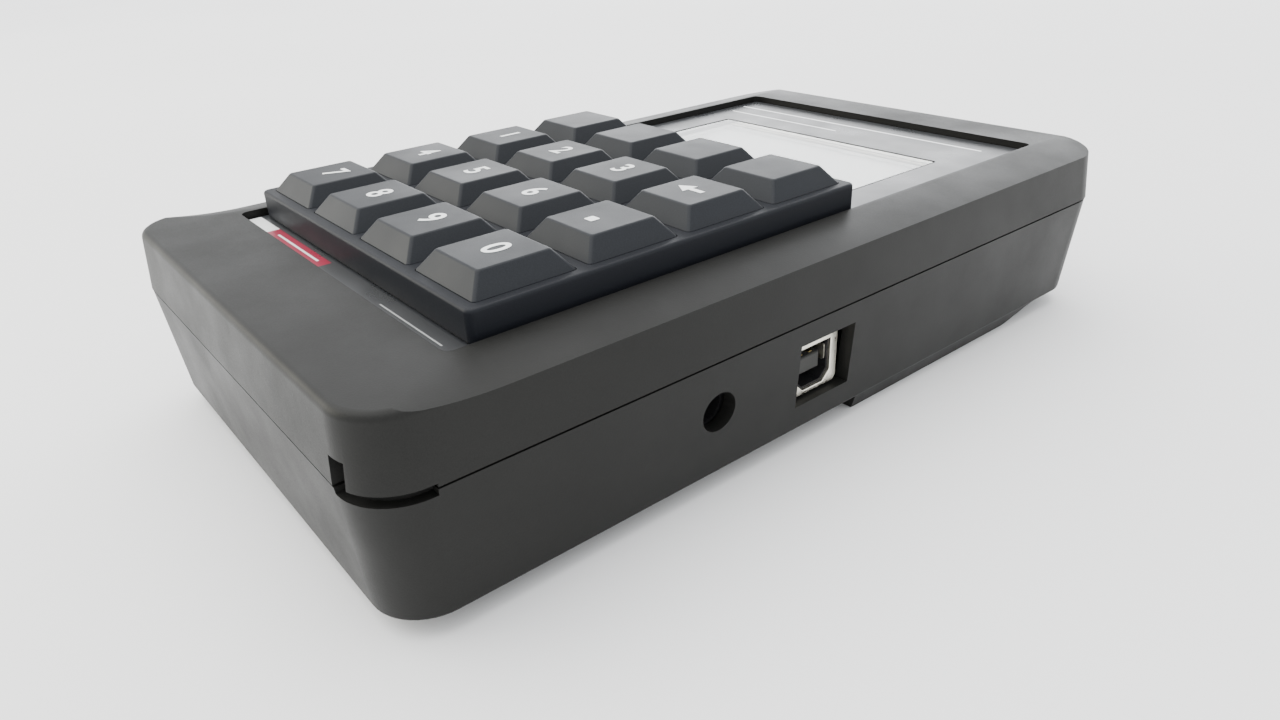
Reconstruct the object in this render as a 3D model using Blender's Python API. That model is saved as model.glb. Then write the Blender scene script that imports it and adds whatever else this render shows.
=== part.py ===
"""Hand-held keypad signal simulator: a two-part case with a display, a 4 by 4 keypad,
a USB type-B socket and a power jack.

+X is the operator's right, +Y points from the operator to the display, +Z is up.
The origin is under the middle of the case, on the surface that it rests on.
Sizes are in millimetres and become metres when a mesh is made.
"""
import bmesh
import bpy
from math import cos, pi, radians, sin
from mathutils import Matrix, Vector

MM = 0.001

# --- clearances -----------------------------------------------------------------
GAP = 0.3             # between pieces that touch or seat on each other
SLIDE_GAP = 0.3       # each side of a piece that slides
CUT_EXTRA = 1.0       # how far a cutter passes a face that it opens

# --- case -----------------------------------------------------------------------
CASE_SIDES = 25.8     # case width beyond the keys' own pitches
CASE_ENDS = 93.8      # case length beyond the keys' own pitches
CASE_TOP = 35.3
TOP_DEPTH = 11.3      # seam to case top
CORNER_R = 8.6
WALL = 2.5
FRONT_FLOOR_Z = 3.3   # underside of the case under the keypad
TOP_EDGE = 1.2        # soft edge around the top face
TOP_DRAFT = 0.9       # each side, seam to top
BASE_STEP = 0.3       # bottom shell is this much smaller at the seam
BASE_DRAFT = 1.6      # each side, seam to underside
BASE_EDGE = 0.6       # small bevel around the underside
LONG_EDGE_DROP = 1.7  # height that the sloped long edges lose
FLAT_MARGIN = 0.9     # flat strip between the recess and each sloped edge
SLOPE_RUNOUT = 18.0   # length over which the slopes run out at the operator's end
SLOPE_FROM_FRAME = 1.0  # where the run-out starts, in front of the keypad frame
SLOPE_STEPS = 8
SEAM_GAP = 0.3
LIP_HEIGHT = 1.5
LIP_DEPTH = 4.0
LIP_WALL = 1.2
LIP_ROOT = 0.5        # how far the lip's skirt sinks into the wall

# --- deep section under the display ----------------------------------------------
DEEP_FRONT = 7.0      # Y where it starts
DEEP_TOP = 5.2        # height where its own edges start
DEEP_SIDE_INSET = 1.8
DEEP_FRONT_LEAN = 0.5
RAMP_BEFORE_BOX_END = 1.3   # ramp's foot, in front of the battery box's end

# --- recess and front panel ------------------------------------------------------
CHIN = 17.8           # case end to recess, operator's end
BROW = 12.6           # recess to case end, display end
PANEL_DEPTH = 1.4     # case top to panel
PANEL_THICKNESS = 0.8
FLOOR_THICKNESS = 2.5
RECESS_SIDE = 1.3     # recess edge to keypad frame
RECESS_R = 1.5
WELL_R = 2.0          # corners of the opening under the keypad

# --- keypad ----------------------------------------------------------------------
KEY_PITCH = 19.05
KEY_ROWS = 4
KEY_COLUMNS = 4
KEY_RIB = 2.15        # between the feet of neighbouring keys
KEY_SIDE = 2.45       # each side of a key, foot to top
KEY_RISE = 3.2        # key top above the frame
KEY_TRAVEL = 1.5
KEY_CORNER = 0.8
KEY_ROOF = 1.6
KEY_SKIN = 1.5
KEY_FLANGE = 0.6      # flange beyond the skirt
KEY_FLANGE_HEIGHT = 0.9
FRAME_MARGIN = 2.0    # outermost key base to frame side
FRAME_R = 1.4
FRAME_EDGE = 0.8
FRAME_PLATE = 1.5
FRAME_WALL = 1.05
FRAME_STAND = 5.2     # frame top above the panel
FRAME_FROM_RECESS = 4.5
WELL_IN_FRAME = 3.0   # opening under the keypad, in from the frame's side
MAT_BASE = 1.2
DOME_R = 4.8
DOME_TOP_R = 3.0
DOME_ROOT = 0.4       # a dome's foot, above and below the mat's face
PLUNGER_R = 2.5
PLUNGER_SHORT = 0.7   # plunger's end above the flange's underside
BOARD = 1.6
BOARD_LAP = 2.0       # keypad board beyond its opening, towards the display

# --- display ---------------------------------------------------------------------
WINDOW_X = 61.6
WINDOW_Y = 31.8
WINDOW_FROM_KEYPAD = 5.3
WINDOW_R = 0.8
WINDOW_THICKNESS = 3.2
WINDOW_SINK = 0.1
BEZEL_SIDE = 6.2      # bezel beyond the window, left and right
BEZEL_END = 5.1       # bezel beyond the window, front and back
BEZEL_WALL = 0.6
BEZEL_R = 1.0
BEZEL_HEIGHT = 2.6
BEZEL_LIP = 1.0       # bezel opening, in from the window's edge
GLASS_THICKNESS = 1.4
DISPLAY_BOARD_LAP = 4.75    # display board's front edge over the main board
DISPLAY_BOARD_BACK = 6.6    # display board beyond the window, away from the keypad

# --- main board ------------------------------------------------------------------
MAIN_BOARD_DROP = 2.6       # board's top below the seam
BOARD_CLEAR = 1.0           # between a board's edge and what stands beside it
MAIN_BOARD_END = 18.0
BOARD_TO_BATTERIES = 1.4
SPACER_R = 2.6
SPACER_STUD_R = 1.25
SPACER_STUD = 3.4
SPACER_INSET = 4.5
SPACER_FROM_USB = 6.5       # back pair, in front of the socket
SCREW_R = 1.25
SCREW_HEAD_R = 2.6
SCREW_HEAD = 1.8
SCREW_HOLE_R = 1.6
SCREW_DEPTH = 3.6
HEADER_LENGTH = 20.0
HEADER_WIDTH = 5.0
CHIP = 14.0
CHIP_HEIGHT = 1.6

# --- USB type-B socket and power jack --------------------------------------------
USB_FROM_CENTRE = -3.9      # Y of the cut-out's centre
USB_CUT_Y = 13.5
USB_CUT_Z = 11.8
USB_Y = 12.0
USB_Z = 10.9
USB_DEPTH = 16.0
USB_SETBACK = 2.0
USB_SHIFT = -0.45           # socket from the cut-out's centre
USB_MOUTH_Y = 8.45
USB_MOUTH_Z = 7.8
USB_MOUTH_CORNER = 1.7
USB_MOUTH_DROP = 0.8        # mouth's centre below the socket's
USB_MOUTH_DEPTH = 12.0
TONGUE_Y = 5.6
TONGUE_Z = 3.2
TONGUE_BACK = 1.2           # tongue's front behind the socket's
CUT_BEHIND_WALL = 4.0       # the openings' cutters pass the wall's inside by this
JACK_FROM_CENTRE = -28.7
JACK_BODY = 9.0
JACK_DEPTH = 14.0
JACK_BORE_R = 3.2
JACK_BORE_DEPTH = 9.5
JACK_PIN_R = 1.0
JACK_PIN_BACK = 1.9
JACK_PIN_POINT = 0.5        # length of the pin's pointed end
JACK_HOLE_R = 3.4

# --- batteries -------------------------------------------------------------------
CELL_D = 14.5
CELL_LENGTH = 50.5
CELL_COUNT = 4
CELL_SPACE = 0.5            # between cells
CELL_EDGE = 0.5
NUB_R = 2.7
NUB_HEIGHT = 1.2
SPRING_LENGTH = 4.6
SPRING_R = 3.2
SPRING_WIRE_R = 0.4
SPRING_TURNS = 3
CONTACT_THICKNESS = 0.4
BOX_WALL = 1.6
BOX_FROM_DEEP_FRONT = 2.8
BOX_GAPS = 7                # gaps along one cell, its spring and the two plates
DOOR_THICKNESS = 2.0
RAIL_WIDTH = 1.2
RAIL_ROOT = 1.0             # how far a rail sinks into the door
RAIL_THICKNESS = 0.8
RAIL_Z = 1.0
GRIP_COUNT = 5
GRIP_DEPTH = 0.5
GRIP_WIDTH = 1.0
GRIP_PITCH = 2.4
GRIP_LENGTH = 22.0
GRIP_FROM_END = 4.0

# --- case screws and feet ----------------------------------------------------------
BOSS_R = 4.0
BOSS_CLEAR = 0.5            # between a boss and the lip
CASE_SCREW_R = 1.5
CASE_SCREW_HEAD_R = 2.7
CASE_SCREW_HEAD = 2.4
CASE_SCREW_REACH = 5.0      # into the top shell's boss
CASE_HOLE_R = 1.8
CASE_SINK_R = 3.1
CASE_SINK_TOP = 10.0
CASE_SCREW_POINT = 1.0      # length of the screw's pointed end
CROSS_LENGTH = 3.2
CROSS_WIDTH = 0.7
CROSS_DEPTH = 1.0
FOOT_R = 5.0
FOOT_EDGE = 0.8
FOOT_INSET_X = 22.0
FOOT_INSET_Y = 13.0

# --- heights and places that follow --------------------------------------------------
CASE_WIDTH = KEY_COLUMNS * KEY_PITCH + CASE_SIDES
CASE_LENGTH = KEY_ROWS * KEY_PITCH + CASE_ENDS
HALF_W = CASE_WIDTH / 2
HALF_L = CASE_LENGTH / 2
SEAM_Z = CASE_TOP - TOP_DEPTH
PANEL_TOP = CASE_TOP - PANEL_DEPTH
RECESS_FLOOR = PANEL_TOP - PANEL_THICKNESS - GAP
CEILING = RECESS_FLOOR - FLOOR_THICKNESS

KEY_BASE = KEY_PITCH - KEY_RIB
KEY_TOP = KEY_BASE - 2 * KEY_SIDE
FRAME_TOP = PANEL_TOP + FRAME_STAND
FRAME_BOTTOM = PANEL_TOP + GAP
PLATE_UNDER = FRAME_TOP - FRAME_PLATE
FLANGE_TOP = PLATE_UNDER - GAP
FLANGE_BOTTOM = FLANGE_TOP - KEY_FLANGE_HEIGHT
KEY_SUMMIT = FRAME_TOP + KEY_RISE
FRAME_HALF_X = (KEY_COLUMNS - 1) * KEY_PITCH / 2 + KEY_BASE / 2 + FRAME_MARGIN
FRAME_HALF_Y = (KEY_ROWS - 1) * KEY_PITCH / 2 + KEY_BASE / 2 + FRAME_MARGIN

RECESS_HALF_X = FRAME_HALF_X + RECESS_SIDE
RECESS_FRONT = -HALF_L + CHIN
RECESS_BACK = HALF_L - BROW
FLAT_HALF_X = RECESS_HALF_X + FLAT_MARGIN
KEYPAD_Y = RECESS_FRONT + FRAME_FROM_RECESS + FRAME_HALF_Y
WELL_HALF_X = FRAME_HALF_X - WELL_IN_FRAME
WELL_HALF_Y = FRAME_HALF_Y - WELL_IN_FRAME
WINDOW_FRONT = KEYPAD_Y + FRAME_HALF_Y + WINDOW_FROM_KEYPAD
WINDOW_CENTRE = WINDOW_FRONT + WINDOW_Y / 2

KEYPAD_BOARD_TOP = CEILING - GAP
KEYPAD_BOARD_BOTTOM = KEYPAD_BOARD_TOP - BOARD
MAT_BOTTOM = KEYPAD_BOARD_TOP + GAP
PLUNGER_BOTTOM = FLANGE_BOTTOM + PLUNGER_SHORT
DOME_TOP = PLUNGER_BOTTOM - KEY_TRAVEL - GAP

WINDOW_TOP = PANEL_TOP - WINDOW_SINK
WINDOW_BOTTOM = WINDOW_TOP - WINDOW_THICKNESS
BEZEL_X = WINDOW_X + 2 * BEZEL_SIDE
BEZEL_Y = WINDOW_Y + 2 * BEZEL_END
BEZEL_TOP = min(WINDOW_BOTTOM, CEILING) - GAP
BEZEL_BOTTOM = BEZEL_TOP - BEZEL_HEIGHT
GLASS_TOP = BEZEL_TOP - BEZEL_WALL - GAP
DISPLAY_BOARD_TOP = BEZEL_BOTTOM - GAP
DISPLAY_BOARD_BOTTOM = DISPLAY_BOARD_TOP - BOARD

BOX_FRONT = DEEP_FRONT + BOX_FROM_DEEP_FRONT
BOX_LENGTH = CELL_LENGTH + SPRING_LENGTH + 2 * CONTACT_THICKNESS + BOX_GAPS * GAP
BOX_BACK = BOX_FRONT + BOX_LENGTH
RAMP_FRONT = BOX_BACK - RAMP_BEFORE_BOX_END
BOX_HALF_X = (CELL_COUNT * (CELL_D + CELL_SPACE) + CELL_SPACE) / 2
BOX_ROOF = DOOR_THICKNESS + 2 * GAP + CELL_D + CELL_SPACE
MAIN_BOARD_TOP = SEAM_Z - MAIN_BOARD_DROP
MAIN_BOARD_BOTTOM = MAIN_BOARD_TOP - BOARD
MAIN_BOARD_BACK = BOX_FRONT - BOX_WALL - BOARD_TO_BATTERIES
MAIN_BOARD_FRONT = -HALF_L + MAIN_BOARD_END
MAIN_BOARD_HALF_X = HALF_W - WALL - GAP - LIP_WALL - BOARD_CLEAR
SPACER_X = WELL_HALF_X + SPACER_INSET
DISPLAY_BOARD_HALF_X = SPACER_X - SPACER_R - BOARD_CLEAR
DISPLAY_BOARD_FRONT = MAIN_BOARD_BACK - DISPLAY_BOARD_LAP
BOSS_INSET = WALL + GAP + LIP_WALL + BOSS_R + BOSS_CLEAR
SOCKET_TOP = MAIN_BOARD_BOTTOM - GAP


def base_half(z):
    """Inset of the bottom shell's outside at height z, from the case's widest line."""
    share = (SEAM_Z - z) / (SEAM_Z - FRONT_FLOOR_Z)
    return BASE_STEP + BASE_DRAFT * share


# --- mesh helpers --------------------------------------------------------------------
def rounded(x0, x1, y0, y1, z, radius=0.0, steps=4):
    """Points of a rectangle with round corners at height z, anticlockwise from above."""
    if radius <= 0:
        return [Vector(p) for p in ((x0, y0, z), (x1, y0, z), (x1, y1, z), (x0, y1, z))]
    points = []
    corners = ((x1 - radius, y0 + radius, -90), (x1 - radius, y1 - radius, 0),
               (x0 + radius, y1 - radius, 90), (x0 + radius, y0 + radius, 180))
    for cx, cy, start in corners:
        for i in range(steps + 1):
            angle = radians(start + 90 * i / steps)
            points.append(Vector((cx + radius * cos(angle), cy + radius * sin(angle), z)))
    return points


def centred(half_x, half_y, z, radius=0.0, centre=(0.0, 0.0), steps=4):
    """Rounded rectangle about a centre."""
    cx, cy = centre
    return rounded(cx - half_x, cx + half_x, cy - half_y, cy + half_y, z, radius, steps)


def circle(radius, z, centre=(0.0, 0.0), segments=24):
    """Points of a circle at height z, anticlockwise from above."""
    cx, cy = centre
    turns = [2 * pi * i / segments for i in range(segments)]
    return [Vector((cx + radius * cos(t), cy + radius * sin(t), z)) for t in turns]


def add_loft(mesh, rings):
    """Add a closed solid through rings listed bottom to top."""
    loops = [[mesh.verts.new(p * MM) for p in ring] for ring in rings]
    for low, high in zip(loops, loops[1:]):
        count = len(low)
        for i in range(count):
            j = (i + 1) % count
            mesh.faces.new((low[i], low[j], high[j], high[i]))
    mesh.faces.new(list(reversed(loops[0])))
    mesh.faces.new(loops[-1])


def turned(rings, axis, origin):
    """Stand rings that were made along Z along another axis, about an origin."""
    turn = {"X": Matrix.Rotation(pi / 2, 3, "Y"), "Y": Matrix.Rotation(-pi / 2, 3, "X"),
            "-Y": Matrix.Rotation(pi / 2, 3, "X"), "Z": Matrix.Identity(3)}[axis]
    return [[turn @ p + Vector(origin) for p in ring] for ring in rings]


def soft_top(half_x, half_y, z, edge, radius, centre=(0.0, 0.0)):
    """Three rings that round off the top edge of a centred solid."""
    soft = 0.3 * edge
    return [centred(half_x, half_y, z - edge, radius, centre),
            centred(half_x - soft, half_y - soft, z - soft, radius, centre),
            centred(half_x - edge, half_y - edge, z, radius - soft, centre)]


def prism_x(outline, x0, x1):
    """Rings of a solid whose YZ outline, anticlockwise seen from +X, runs from x0 to x1."""
    return [[Vector((x, y, z)) for y, z in outline] for x in (x0, x1)]


def box(x0, x1, y0, y1, z0, z1):
    """Rings of a plain box."""
    return [rounded(x0, x1, y0, y1, z0), rounded(x0, x1, y0, y1, z1)]


def material(name, colour, roughness, metallic=0.0, alpha=1.0):
    """A plain Principled material."""
    made = bpy.data.materials.new(name)
    made.use_nodes = True
    shader = made.node_tree.nodes["Principled BSDF"]
    shader.inputs["Base Color"].default_value = (*colour, 1.0)
    shader.inputs["Roughness"].default_value = roughness
    shader.inputs["Metallic"].default_value = metallic
    shader.inputs["Alpha"].default_value = alpha
    made.diffuse_color = (*colour, alpha)
    return made


def solid(name, lofts, look=None, origin=(0.0, 0.0, 0.0)):
    """One object from closed lofts. Its origin sits at the given point."""
    mesh = bmesh.new()
    for rings in lofts:
        add_loft(mesh, rings)
    bmesh.ops.translate(mesh, verts=mesh.verts, vec=-Vector(origin) * MM)
    data = bpy.data.meshes.new(name)
    mesh.to_mesh(data)
    mesh.free()
    data.shade_smooth()
    data.set_sharp_from_angle(angle=radians(35))
    made = bpy.data.objects.new(name, data)
    made.location = Vector(origin) * MM
    bpy.context.collection.objects.link(made)
    if look is not None:
        data.materials.append(look)
    return made


def shape(target, lofts, operation="DIFFERENCE"):
    """Cut lofts out of a solid, or join them on, with a Boolean modifier."""
    tool = solid(f"tool_{target.name}_{len(target.modifiers)}", lofts)
    tool.hide_render = True
    tool.display_type = "WIRE"
    modifier = target.modifiers.new(operation.title(), "BOOLEAN")
    modifier.operation = operation
    modifier.solver = "EXACT"
    modifier.object = tool


# --- places shared by several pieces ---------------------------------------------------
def boss_places():
    """Centres of the four case screws."""
    x = HALF_W - BOSS_INSET
    y = HALF_L - BOSS_INSET
    return [(-x, -y), (x, -y), (-x, y), (x, y)]


def spacer_places():
    """Centres of the four spacers between the boards."""
    front = MAIN_BOARD_FRONT + SPACER_INSET
    back = USB_FROM_CENTRE + USB_SHIFT - USB_Y / 2 - SPACER_FROM_USB
    return [(-SPACER_X, front), (SPACER_X, front), (-SPACER_X, back), (SPACER_X, back)]


def cell_places():
    """X of each cell, and whether its spring is at the operator's end."""
    pitch = CELL_D + CELL_SPACE
    first = -(CELL_COUNT - 1) * pitch / 2
    return [(first + i * pitch, i % 2 == 0) for i in range(CELL_COUNT)]


def key_places():
    """Name and centre of each key, row by row from the operator."""
    names = ("key_7", "key_8", "key_9", "key_0", "key_4", "key_5", "key_6", "key_point",
             "key_1", "key_2", "key_3", "key_back", "key_f1", "key_f2", "key_f3", "key_f4")
    places = []
    for index, name in enumerate(names):
        column = index % KEY_COLUMNS - (KEY_COLUMNS - 1) / 2
        row = index // KEY_COLUMNS - (KEY_ROWS - 1) / 2
        places.append((name, column * KEY_PITCH, KEYPAD_Y + row * KEY_PITCH))
    return places


def slope_sections(side):
    """Sections of the cutter that makes one sloped long edge, display end to operator."""
    top_half = HALF_W - TOP_DRAFT
    reach = HALF_W + 2 * CUT_EXTRA
    above = CASE_TOP + CUT_EXTRA
    pitch = LONG_EDGE_DROP / (top_half - FLAT_HALF_X)
    start = RECESS_FRONT + FRAME_FROM_RECESS - SLOPE_FROM_FRAME
    shares = [i / SLOPE_STEPS for i in range(SLOPE_STEPS + 1)]
    stations = [(HALF_L + CUT_EXTRA, 0.0)]
    stations += [(start - SLOPE_RUNOUT * share, share ** 2) for share in shares]
    rings = []
    for y, share in stations:
        inner = FLAT_HALF_X + (HALF_W + CUT_EXTRA - FLAT_HALF_X) * share
        outer_z = CASE_TOP - pitch * (reach - inner)
        outline = ((inner, CASE_TOP), (reach, outer_z), (reach, above), (inner, above))
        ring = [Vector((side * x, y, z)) for x, z in outline]
        rings.append(ring if side > 0 else list(reversed(ring)))
    return rings


# --- the case ----------------------------------------------------------------------------
def make_top_shell(look):
    """Upper third of the case."""
    low = SEAM_Z + SEAM_GAP
    outer = [centred(HALF_W, HALF_L, low, CORNER_R),
             *soft_top(HALF_W - TOP_DRAFT, HALF_L - TOP_DRAFT, CASE_TOP, TOP_EDGE, CORNER_R)]
    shell = solid("top_shell", [outer], look)
    inner_r = CORNER_R - WALL
    hollow = [centred(HALF_W - WALL, HALF_L - WALL, low - CUT_EXTRA, inner_r),
              centred(HALF_W - WALL, HALF_L - WALL, SEAM_Z + LIP_HEIGHT + GAP, inner_r),
              centred(HALF_W - WALL - TOP_DRAFT, HALF_L - WALL - TOP_DRAFT, CEILING, inner_r)]
    shape(shell, [hollow])
    bosses = []
    holes = []
    for x, y in boss_places():
        bosses.append([circle(BOSS_R, low, (x, y)), circle(BOSS_R, CEILING + GAP, (x, y))])
        holes.append([circle(CASE_HOLE_R, low - CUT_EXTRA, (x, y)),
                      circle(CASE_HOLE_R, SEAM_Z + CASE_SCREW_REACH + CUT_EXTRA, (x, y))])
    shape(shell, bosses, "UNION")
    shape(shell, holes)
    recess = [rounded(-RECESS_HALF_X, RECESS_HALF_X, RECESS_FRONT, RECESS_BACK, z, RECESS_R)
              for z in (RECESS_FLOOR, CASE_TOP + CUT_EXTRA)]
    shape(shell, [recess])
    well = [centred(WELL_HALF_X, WELL_HALF_Y, z, WELL_R, (0, KEYPAD_Y))
            for z in (CEILING - CUT_EXTRA, RECESS_FLOOR + CUT_EXTRA)]
    light = [centred(WINDOW_X / 2, WINDOW_Y / 2, z, WINDOW_R, (0, WINDOW_CENTRE))
             for z in (CEILING - CUT_EXTRA, RECESS_FLOOR + CUT_EXTRA)]
    shape(shell, [well, light])
    stud_holes = [[circle(SCREW_HOLE_R, CEILING - CUT_EXTRA, place, 12),
                   circle(SCREW_HOLE_R, KEYPAD_BOARD_BOTTOM + SPACER_STUD + GAP, place, 12)]
                  for place in spacer_places()]
    shape(shell, stud_holes)
    shape(shell, [slope_sections(1), slope_sections(-1)])
    return shell


def deep_outline(z):
    """Outline of the deep section at height z, between its floor and DEEP_TOP."""
    share = (DEEP_TOP - z) / DEEP_TOP
    side = HALF_W - base_half(DEEP_TOP) - DEEP_SIDE_INSET * share
    back = HALF_L - base_half(DEEP_TOP)
    back -= (back - RAMP_FRONT) * share
    front = DEEP_FRONT + DEEP_FRONT_LEAN * share
    x = side - CORNER_R
    y = back - CORNER_R
    points = []
    for x_side, start in ((x, 0), (-x, 90)):
        for i in range(5):
            angle = radians(start + 22.5 * i)
            points.append(Vector((x_side + CORNER_R * cos(angle), y + CORNER_R * sin(angle), z)))
    points.append(Vector((-side, front, z)))
    points.append(Vector((side, front, z)))
    return points


def make_bottom_shell(look):
    """Lower two thirds of the case, with the battery box and the four screw posts."""
    rings = []
    for z, extra, radius in ((FRONT_FLOOR_Z, BASE_EDGE, CORNER_R - BASE_EDGE),
                             (FRONT_FLOOR_Z + BASE_EDGE, 0.0, CORNER_R), (SEAM_Z, 0.0, CORNER_R)):
        inset = base_half(z) + extra
        rings.append(centred(HALF_W - inset, HALF_L - inset, z, radius))
    shell = solid("bottom_shell", [rings], look)
    shape(shell, [[deep_outline(0.0), deep_outline(DEEP_TOP)]], "UNION")
    inner_r = CORNER_R - WALL
    floor = FRONT_FLOOR_Z + WALL
    hollow = [centred(HALF_W - base_half(z) - WALL, HALF_L - base_half(z) - WALL, z, inner_r)
              for z in (floor, SEAM_Z + CUT_EXTRA)]
    shape(shell, [hollow])
    lip_half = HALF_W - WALL - GAP
    lip_long = HALF_L - WALL - GAP
    lip_low = SEAM_Z - LIP_DEPTH
    lip_r = inner_r - GAP
    skirt = [centred(lip_half + LIP_ROOT, lip_long + LIP_ROOT, lip_low, inner_r),
             centred(lip_half + LIP_ROOT, lip_long + LIP_ROOT, SEAM_Z - 2 * GAP, inner_r),
             centred(lip_half, lip_long, SEAM_Z - GAP, lip_r),
             centred(lip_half, lip_long, SEAM_Z + LIP_HEIGHT, lip_r)]
    shape(shell, [skirt], "UNION")
    bore = [centred(lip_half - LIP_WALL, lip_long - LIP_WALL, z, inner_r - LIP_WALL)
            for z in (lip_low - CUT_EXTRA, SEAM_Z + LIP_HEIGHT + CUT_EXTRA)]
    shape(shell, [bore])
    posts = [[circle(BOSS_R, DEEP_TOP, place), circle(BOSS_R, SEAM_Z, place)] for place in boss_places()]
    cells = box(-BOX_HALF_X - BOX_WALL, BOX_HALF_X + BOX_WALL, BOX_FRONT - BOX_WALL, BOX_BACK + BOX_WALL,
                DEEP_TOP, BOX_ROOF + BOX_WALL)
    shape(shell, [*posts, cells], "UNION")
    sinks = [[circle(CASE_SINK_R, -CUT_EXTRA, place), circle(CASE_SINK_R, CASE_SINK_TOP, place)]
             for place in boss_places()]
    holes = [[circle(CASE_HOLE_R, CASE_SINK_TOP - CUT_EXTRA, place),
              circle(CASE_HOLE_R, SEAM_Z + CUT_EXTRA, place)] for place in boss_places()]
    shape(shell, sinks)
    shape(shell, holes)
    shape(shell, [box(-BOX_HALF_X, BOX_HALF_X, BOX_FRONT, BOX_BACK, -CUT_EXTRA, BOX_ROOF)])
    channel = door_outline(SLIDE_GAP, HALF_L)
    shape(shell, [prism_x(channel, -BOX_HALF_X, BOX_HALF_X)])
    grooves = []
    for side in (-1, 1):
        x0, x1 = sorted((side * (BOX_HALF_X - CUT_EXTRA), side * (BOX_HALF_X + RAIL_WIDTH)))
        grooves.append(box(x0, x1, BOX_FRONT, HALF_L, RAIL_Z - SLIDE_GAP,
                           RAIL_Z + RAIL_THICKNESS + SLIDE_GAP))
    shape(shell, grooves)
    shape(shell, side_openings())
    return shell


def door_outline(clearance=0.0, back=None):
    """YZ outline of the battery door, or of the channel that it slides in."""
    front = BOX_FRONT + GAP - clearance
    top = DOOR_THICKNESS + clearance
    if back is not None:
        return [(front, -CUT_EXTRA), (back, -CUT_EXTRA), (back, top), (front, top)]
    ramp = HALF_L - base_half(DEEP_TOP) - RAMP_FRONT
    ramp_back = RAMP_FRONT + ramp * DOOR_THICKNESS / DEEP_TOP
    return [(front, 0.0), (RAMP_FRONT, 0.0), (ramp_back, top), (front, top)]


def side_openings():
    """Cutters for the USB cut-out and the power jack's hole in the right-hand wall."""
    x0 = HALF_W - WALL - CUT_BEHIND_WALL
    x1 = HALF_W + CUT_EXTRA
    z_mid = SOCKET_TOP - USB_Z / 2
    usb = box(x0, x1, USB_FROM_CENTRE - USB_CUT_Y / 2, USB_FROM_CENTRE + USB_CUT_Y / 2,
              z_mid - USB_CUT_Z / 2, z_mid + USB_CUT_Z / 2)
    jack_z = SOCKET_TOP - JACK_BODY / 2
    jack = turned([circle(JACK_HOLE_R, 0.0), circle(JACK_HOLE_R, x1 - x0)], "X",
                  (x0, JACK_FROM_CENTRE, jack_z))
    return [usb, jack]


def make_panel(look):
    """Front panel sheet with its window and the opening under the keypad."""
    sheet = [rounded(-RECESS_HALF_X + GAP, RECESS_HALF_X - GAP, RECESS_FRONT + GAP, RECESS_BACK - GAP,
                     z, RECESS_R - GAP) for z in (PANEL_TOP - PANEL_THICKNESS, PANEL_TOP)]
    panel = solid("front_panel", [sheet], look)
    well = [centred(WELL_HALF_X, WELL_HALF_Y, z, WELL_R, (0, KEYPAD_Y))
            for z in (RECESS_FLOOR, PANEL_TOP + CUT_EXTRA)]
    light = [centred(WINDOW_X / 2, WINDOW_Y / 2, z, WINDOW_R, (0, WINDOW_CENTRE))
             for z in (RECESS_FLOOR, PANEL_TOP + CUT_EXTRA)]
    shape(panel, [well, light])
    return panel


# --- the display -------------------------------------------------------------------------
def make_display(window_look, metal, glass_look, board_look):
    """Window, bezel, glass and board of the display."""
    centre = (0.0, WINDOW_CENTRE)
    solid("display_window", [[centred(WINDOW_X / 2 - GAP, WINDOW_Y / 2 - GAP, z, WINDOW_R, centre)
                              for z in (WINDOW_BOTTOM, WINDOW_TOP)]], window_look)
    half_x = BEZEL_X / 2
    half_y = BEZEL_Y / 2
    bezel = solid("display_bezel", [[centred(half_x, half_y, z, BEZEL_R, centre)
                                     for z in (BEZEL_BOTTOM, BEZEL_TOP)]], metal)
    inner_r = BEZEL_R - BEZEL_WALL
    room = [centred(half_x - BEZEL_WALL, half_y - BEZEL_WALL, z, inner_r, centre)
            for z in (BEZEL_BOTTOM - CUT_EXTRA, BEZEL_TOP - BEZEL_WALL)]
    sight = [centred(WINDOW_X / 2 - BEZEL_LIP, WINDOW_Y / 2 - BEZEL_LIP, z, WINDOW_R, centre)
             for z in (BEZEL_TOP - 2 * BEZEL_WALL, BEZEL_TOP + CUT_EXTRA)]
    shape(bezel, [room])
    shape(bezel, [sight])
    inset = BEZEL_WALL + GAP
    solid("display_glass", [[centred(half_x - inset, half_y - inset, z, inner_r, centre)
                             for z in (GLASS_TOP - GLASS_THICKNESS, GLASS_TOP)]], glass_look)
    solid("display_board", [box(-DISPLAY_BOARD_HALF_X, DISPLAY_BOARD_HALF_X, DISPLAY_BOARD_FRONT,
                                WINDOW_FRONT + WINDOW_Y + DISPLAY_BOARD_BACK,
                                DISPLAY_BOARD_BOTTOM, DISPLAY_BOARD_TOP)], board_look)


# --- the keypad --------------------------------------------------------------------------
def make_keypad_frame(look):
    """Square plate with sixteen wells, hollow underneath."""
    centre = (0.0, KEYPAD_Y)
    outer = [centred(FRAME_HALF_X, FRAME_HALF_Y, FRAME_BOTTOM, FRAME_R, centre),
             *soft_top(FRAME_HALF_X, FRAME_HALF_Y, FRAME_TOP, FRAME_EDGE, FRAME_R, centre)]
    frame = solid("keypad_frame", [outer], look)
    inner_r = FRAME_R - FRAME_WALL
    hollow = [centred(FRAME_HALF_X - FRAME_WALL, FRAME_HALF_Y - FRAME_WALL, z, inner_r, centre)
              for z in (FRAME_BOTTOM - CUT_EXTRA, PLATE_UNDER)]
    shape(frame, [hollow])
    half = KEY_BASE / 2 + SLIDE_GAP
    holes = [[centred(half, half, z, KEY_CORNER, (x, y), 2)
              for z in (PLATE_UNDER - CUT_EXTRA, FRAME_TOP + CUT_EXTRA)] for _, x, y in key_places()]
    shape(frame, holes)
    return frame


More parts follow.
